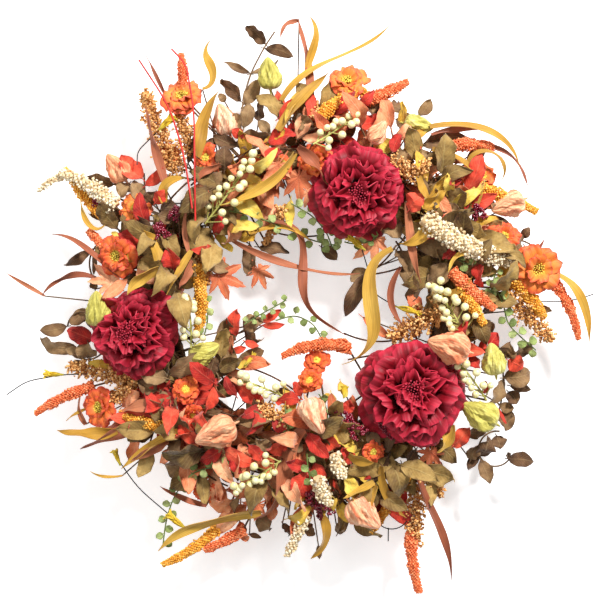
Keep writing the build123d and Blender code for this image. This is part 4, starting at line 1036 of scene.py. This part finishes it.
# ---- camera and room ----
def camera():
    """Straight on, level, with the wreath's outline filling the frame as in a catalogue picture."""
    data = bpy.data.cameras.new("camera")
    data.lens, data.sensor_width = LENS, SENSOR
    made = add_object("camera", data)
    middle = RING_CENTRE + np.array([-5 * MM, -60 * MM, 3 * MM])  # of the wreath's outline, at its front
    made.location = middle + np.array([0, -PICTURE_WIDTH * LENS / SENSOR, 0])
    made.rotation_euler = (math.radians(90), 0, 0)
    SCENE.camera = made


def lamp(name, place, size, power):
    """A round white lamp at a place seen from the ring's centre, turned to it."""
    data = bpy.data.lights.new(name, "AREA")
    data.shape, data.size, data.energy = "DISK", size, power
    made = add_object(name, data)
    made.location = RING_CENTRE + np.array(place)
    made.rotation_mode = "QUATERNION"
    made.rotation_quaternion = Vector(-np.array(place)).to_track_quat("-Z", "Y")


def room():
    """A white wall just behind the hanger, seen from the front only so that it doesn't hide the back."""
    at = CAD_BOX[1].y + WALL_GAP
    corners = [(x * WALL_REACH, at, z * WALL_REACH) for x, z in ((-1, -1), (1, -1), (1, 1), (-1, 1))]
    mesh = bpy.data.meshes.new("wall")
    mesh.from_pydata(corners, [], [(0, 1, 2, 3)])
    mesh.materials.append(WALL)
    add_object("wall", mesh)
    tree = WALL.node_tree
    white = tree.nodes["Principled BSDF"]
    white.inputs["Emission Color"].default_value = (1, 1, 1, 1)
    white.inputs["Emission Strength"].default_value = WALL_GLOW
    clear = tree.nodes.new("ShaderNodeBsdfTransparent")
    choose = tree.nodes.new("ShaderNodeMixShader")
    tree.links.new(tree.nodes.new("ShaderNodeNewGeometry").outputs["Backfacing"], choose.inputs[0])
    tree.links.new(white.outputs[0], choose.inputs[1])
    tree.links.new(clear.outputs[0], choose.inputs[2])
    tree.links.new(choose.outputs[0], tree.nodes["Material Output"].inputs["Surface"])
    world = bpy.data.worlds.new("studio")
    world.use_nodes = True
    light = world.node_tree.nodes["Background"].inputs
    light["Color"].default_value, light["Strength"].default_value = (1, 1, 1, 1), ROOM_LIGHT
    SCENE.world = world
    SCENE.view_settings.view_transform = "Standard"
    lamp("key", (0.9, -1.7, 1.5), 0.45, 90)
    lamp("fill", (-1.5, -1.9, 0.2), 1.2, 16)


camera()
room()

for name in frame["nodes"]:
    if name.startswith("vine_"):
        vine_hoop(name, BARK)
    elif name.startswith("brown_leaves"):
        leaves(name, LEAF["brown"], "broad")
    elif name.startswith("red_leaves"):
        leaves(name, LEAF["red"], "broad")
    elif name.startswith("cream_berries"):
        berries(name, CREAM_BERRY)
    elif name.startswith("peony") and name.endswith("petals"):
        peony_petals(name, PEONY)
    elif name.startswith("peony") and name.endswith("centre"):
        stamens(name, PEONY_CENTRE, 46, 0.5, 1.25, 0.75 * MM)
    elif name.startswith("peony"):
        paint_cad(name, GREEN_STEM)
    elif name.startswith("stalk_wires"):
        paint_cad(name, TAPE)

leaves("olive_fill_leaves", LEAF["olive"], "broad")
leaves("peach_leaves", LEAF["peach"], "narrow")
leaves("yellow_leaves", LEAF["yellow"], "narrow")
leaves("green_vine_leaves", LEAF["green"], "round", 0.2)
maple_leaves("peach_maple_leaves", LEAF["peach"])
blades("mustard_blades", MUSTARD_BLADE)
blades("rust_blades", RUST_BLADE)
bloom_petals("orange_bloom_petals", BLOOM)
stamens("orange_bloom_centres", BLOOM_CENTRE, 34, 0.35, 1.0, 0.8 * MM)
lantern_pods("yellow_lantern_pods", YELLOW_POD)
lantern_pods("peach_lantern_pods", PEACH_POD)
bead_clusters("burgundy_bead_berries", BURGUNDY)
spikes("cream_blossom_spikes", CREAM_CRUMB, 1.7 * MM, 1.5, rough=0.26, loose=0.38)
spikes("mustard_amaranth_spikes", MUSTARD_CRUMB, 1.25 * MM, 1.7)
spikes("orange_amaranth_spikes", ORANGE_CRUMB, 1.18 * MM, 1.7)
plumes("grain_plumes", GRAIN)
buds("yellow_buds", BUD)
for name, material in (
    ("binding_wires", TIE_WIRE), ("hanger_eyes", STEEL), ("hanger_loop", STEEL),
    ("cream_berry_twigs", PALE_TWIG), ("green_vine_stems", GREEN_STEM), ("black_wire_tendrils", BLACK_WIRE),
    ("red_wire_twigs", RED_WIRE), ("loose_brown_twigs", TWIG), ("spray_stems", TAPE),
):
    paint_cad(name, material)
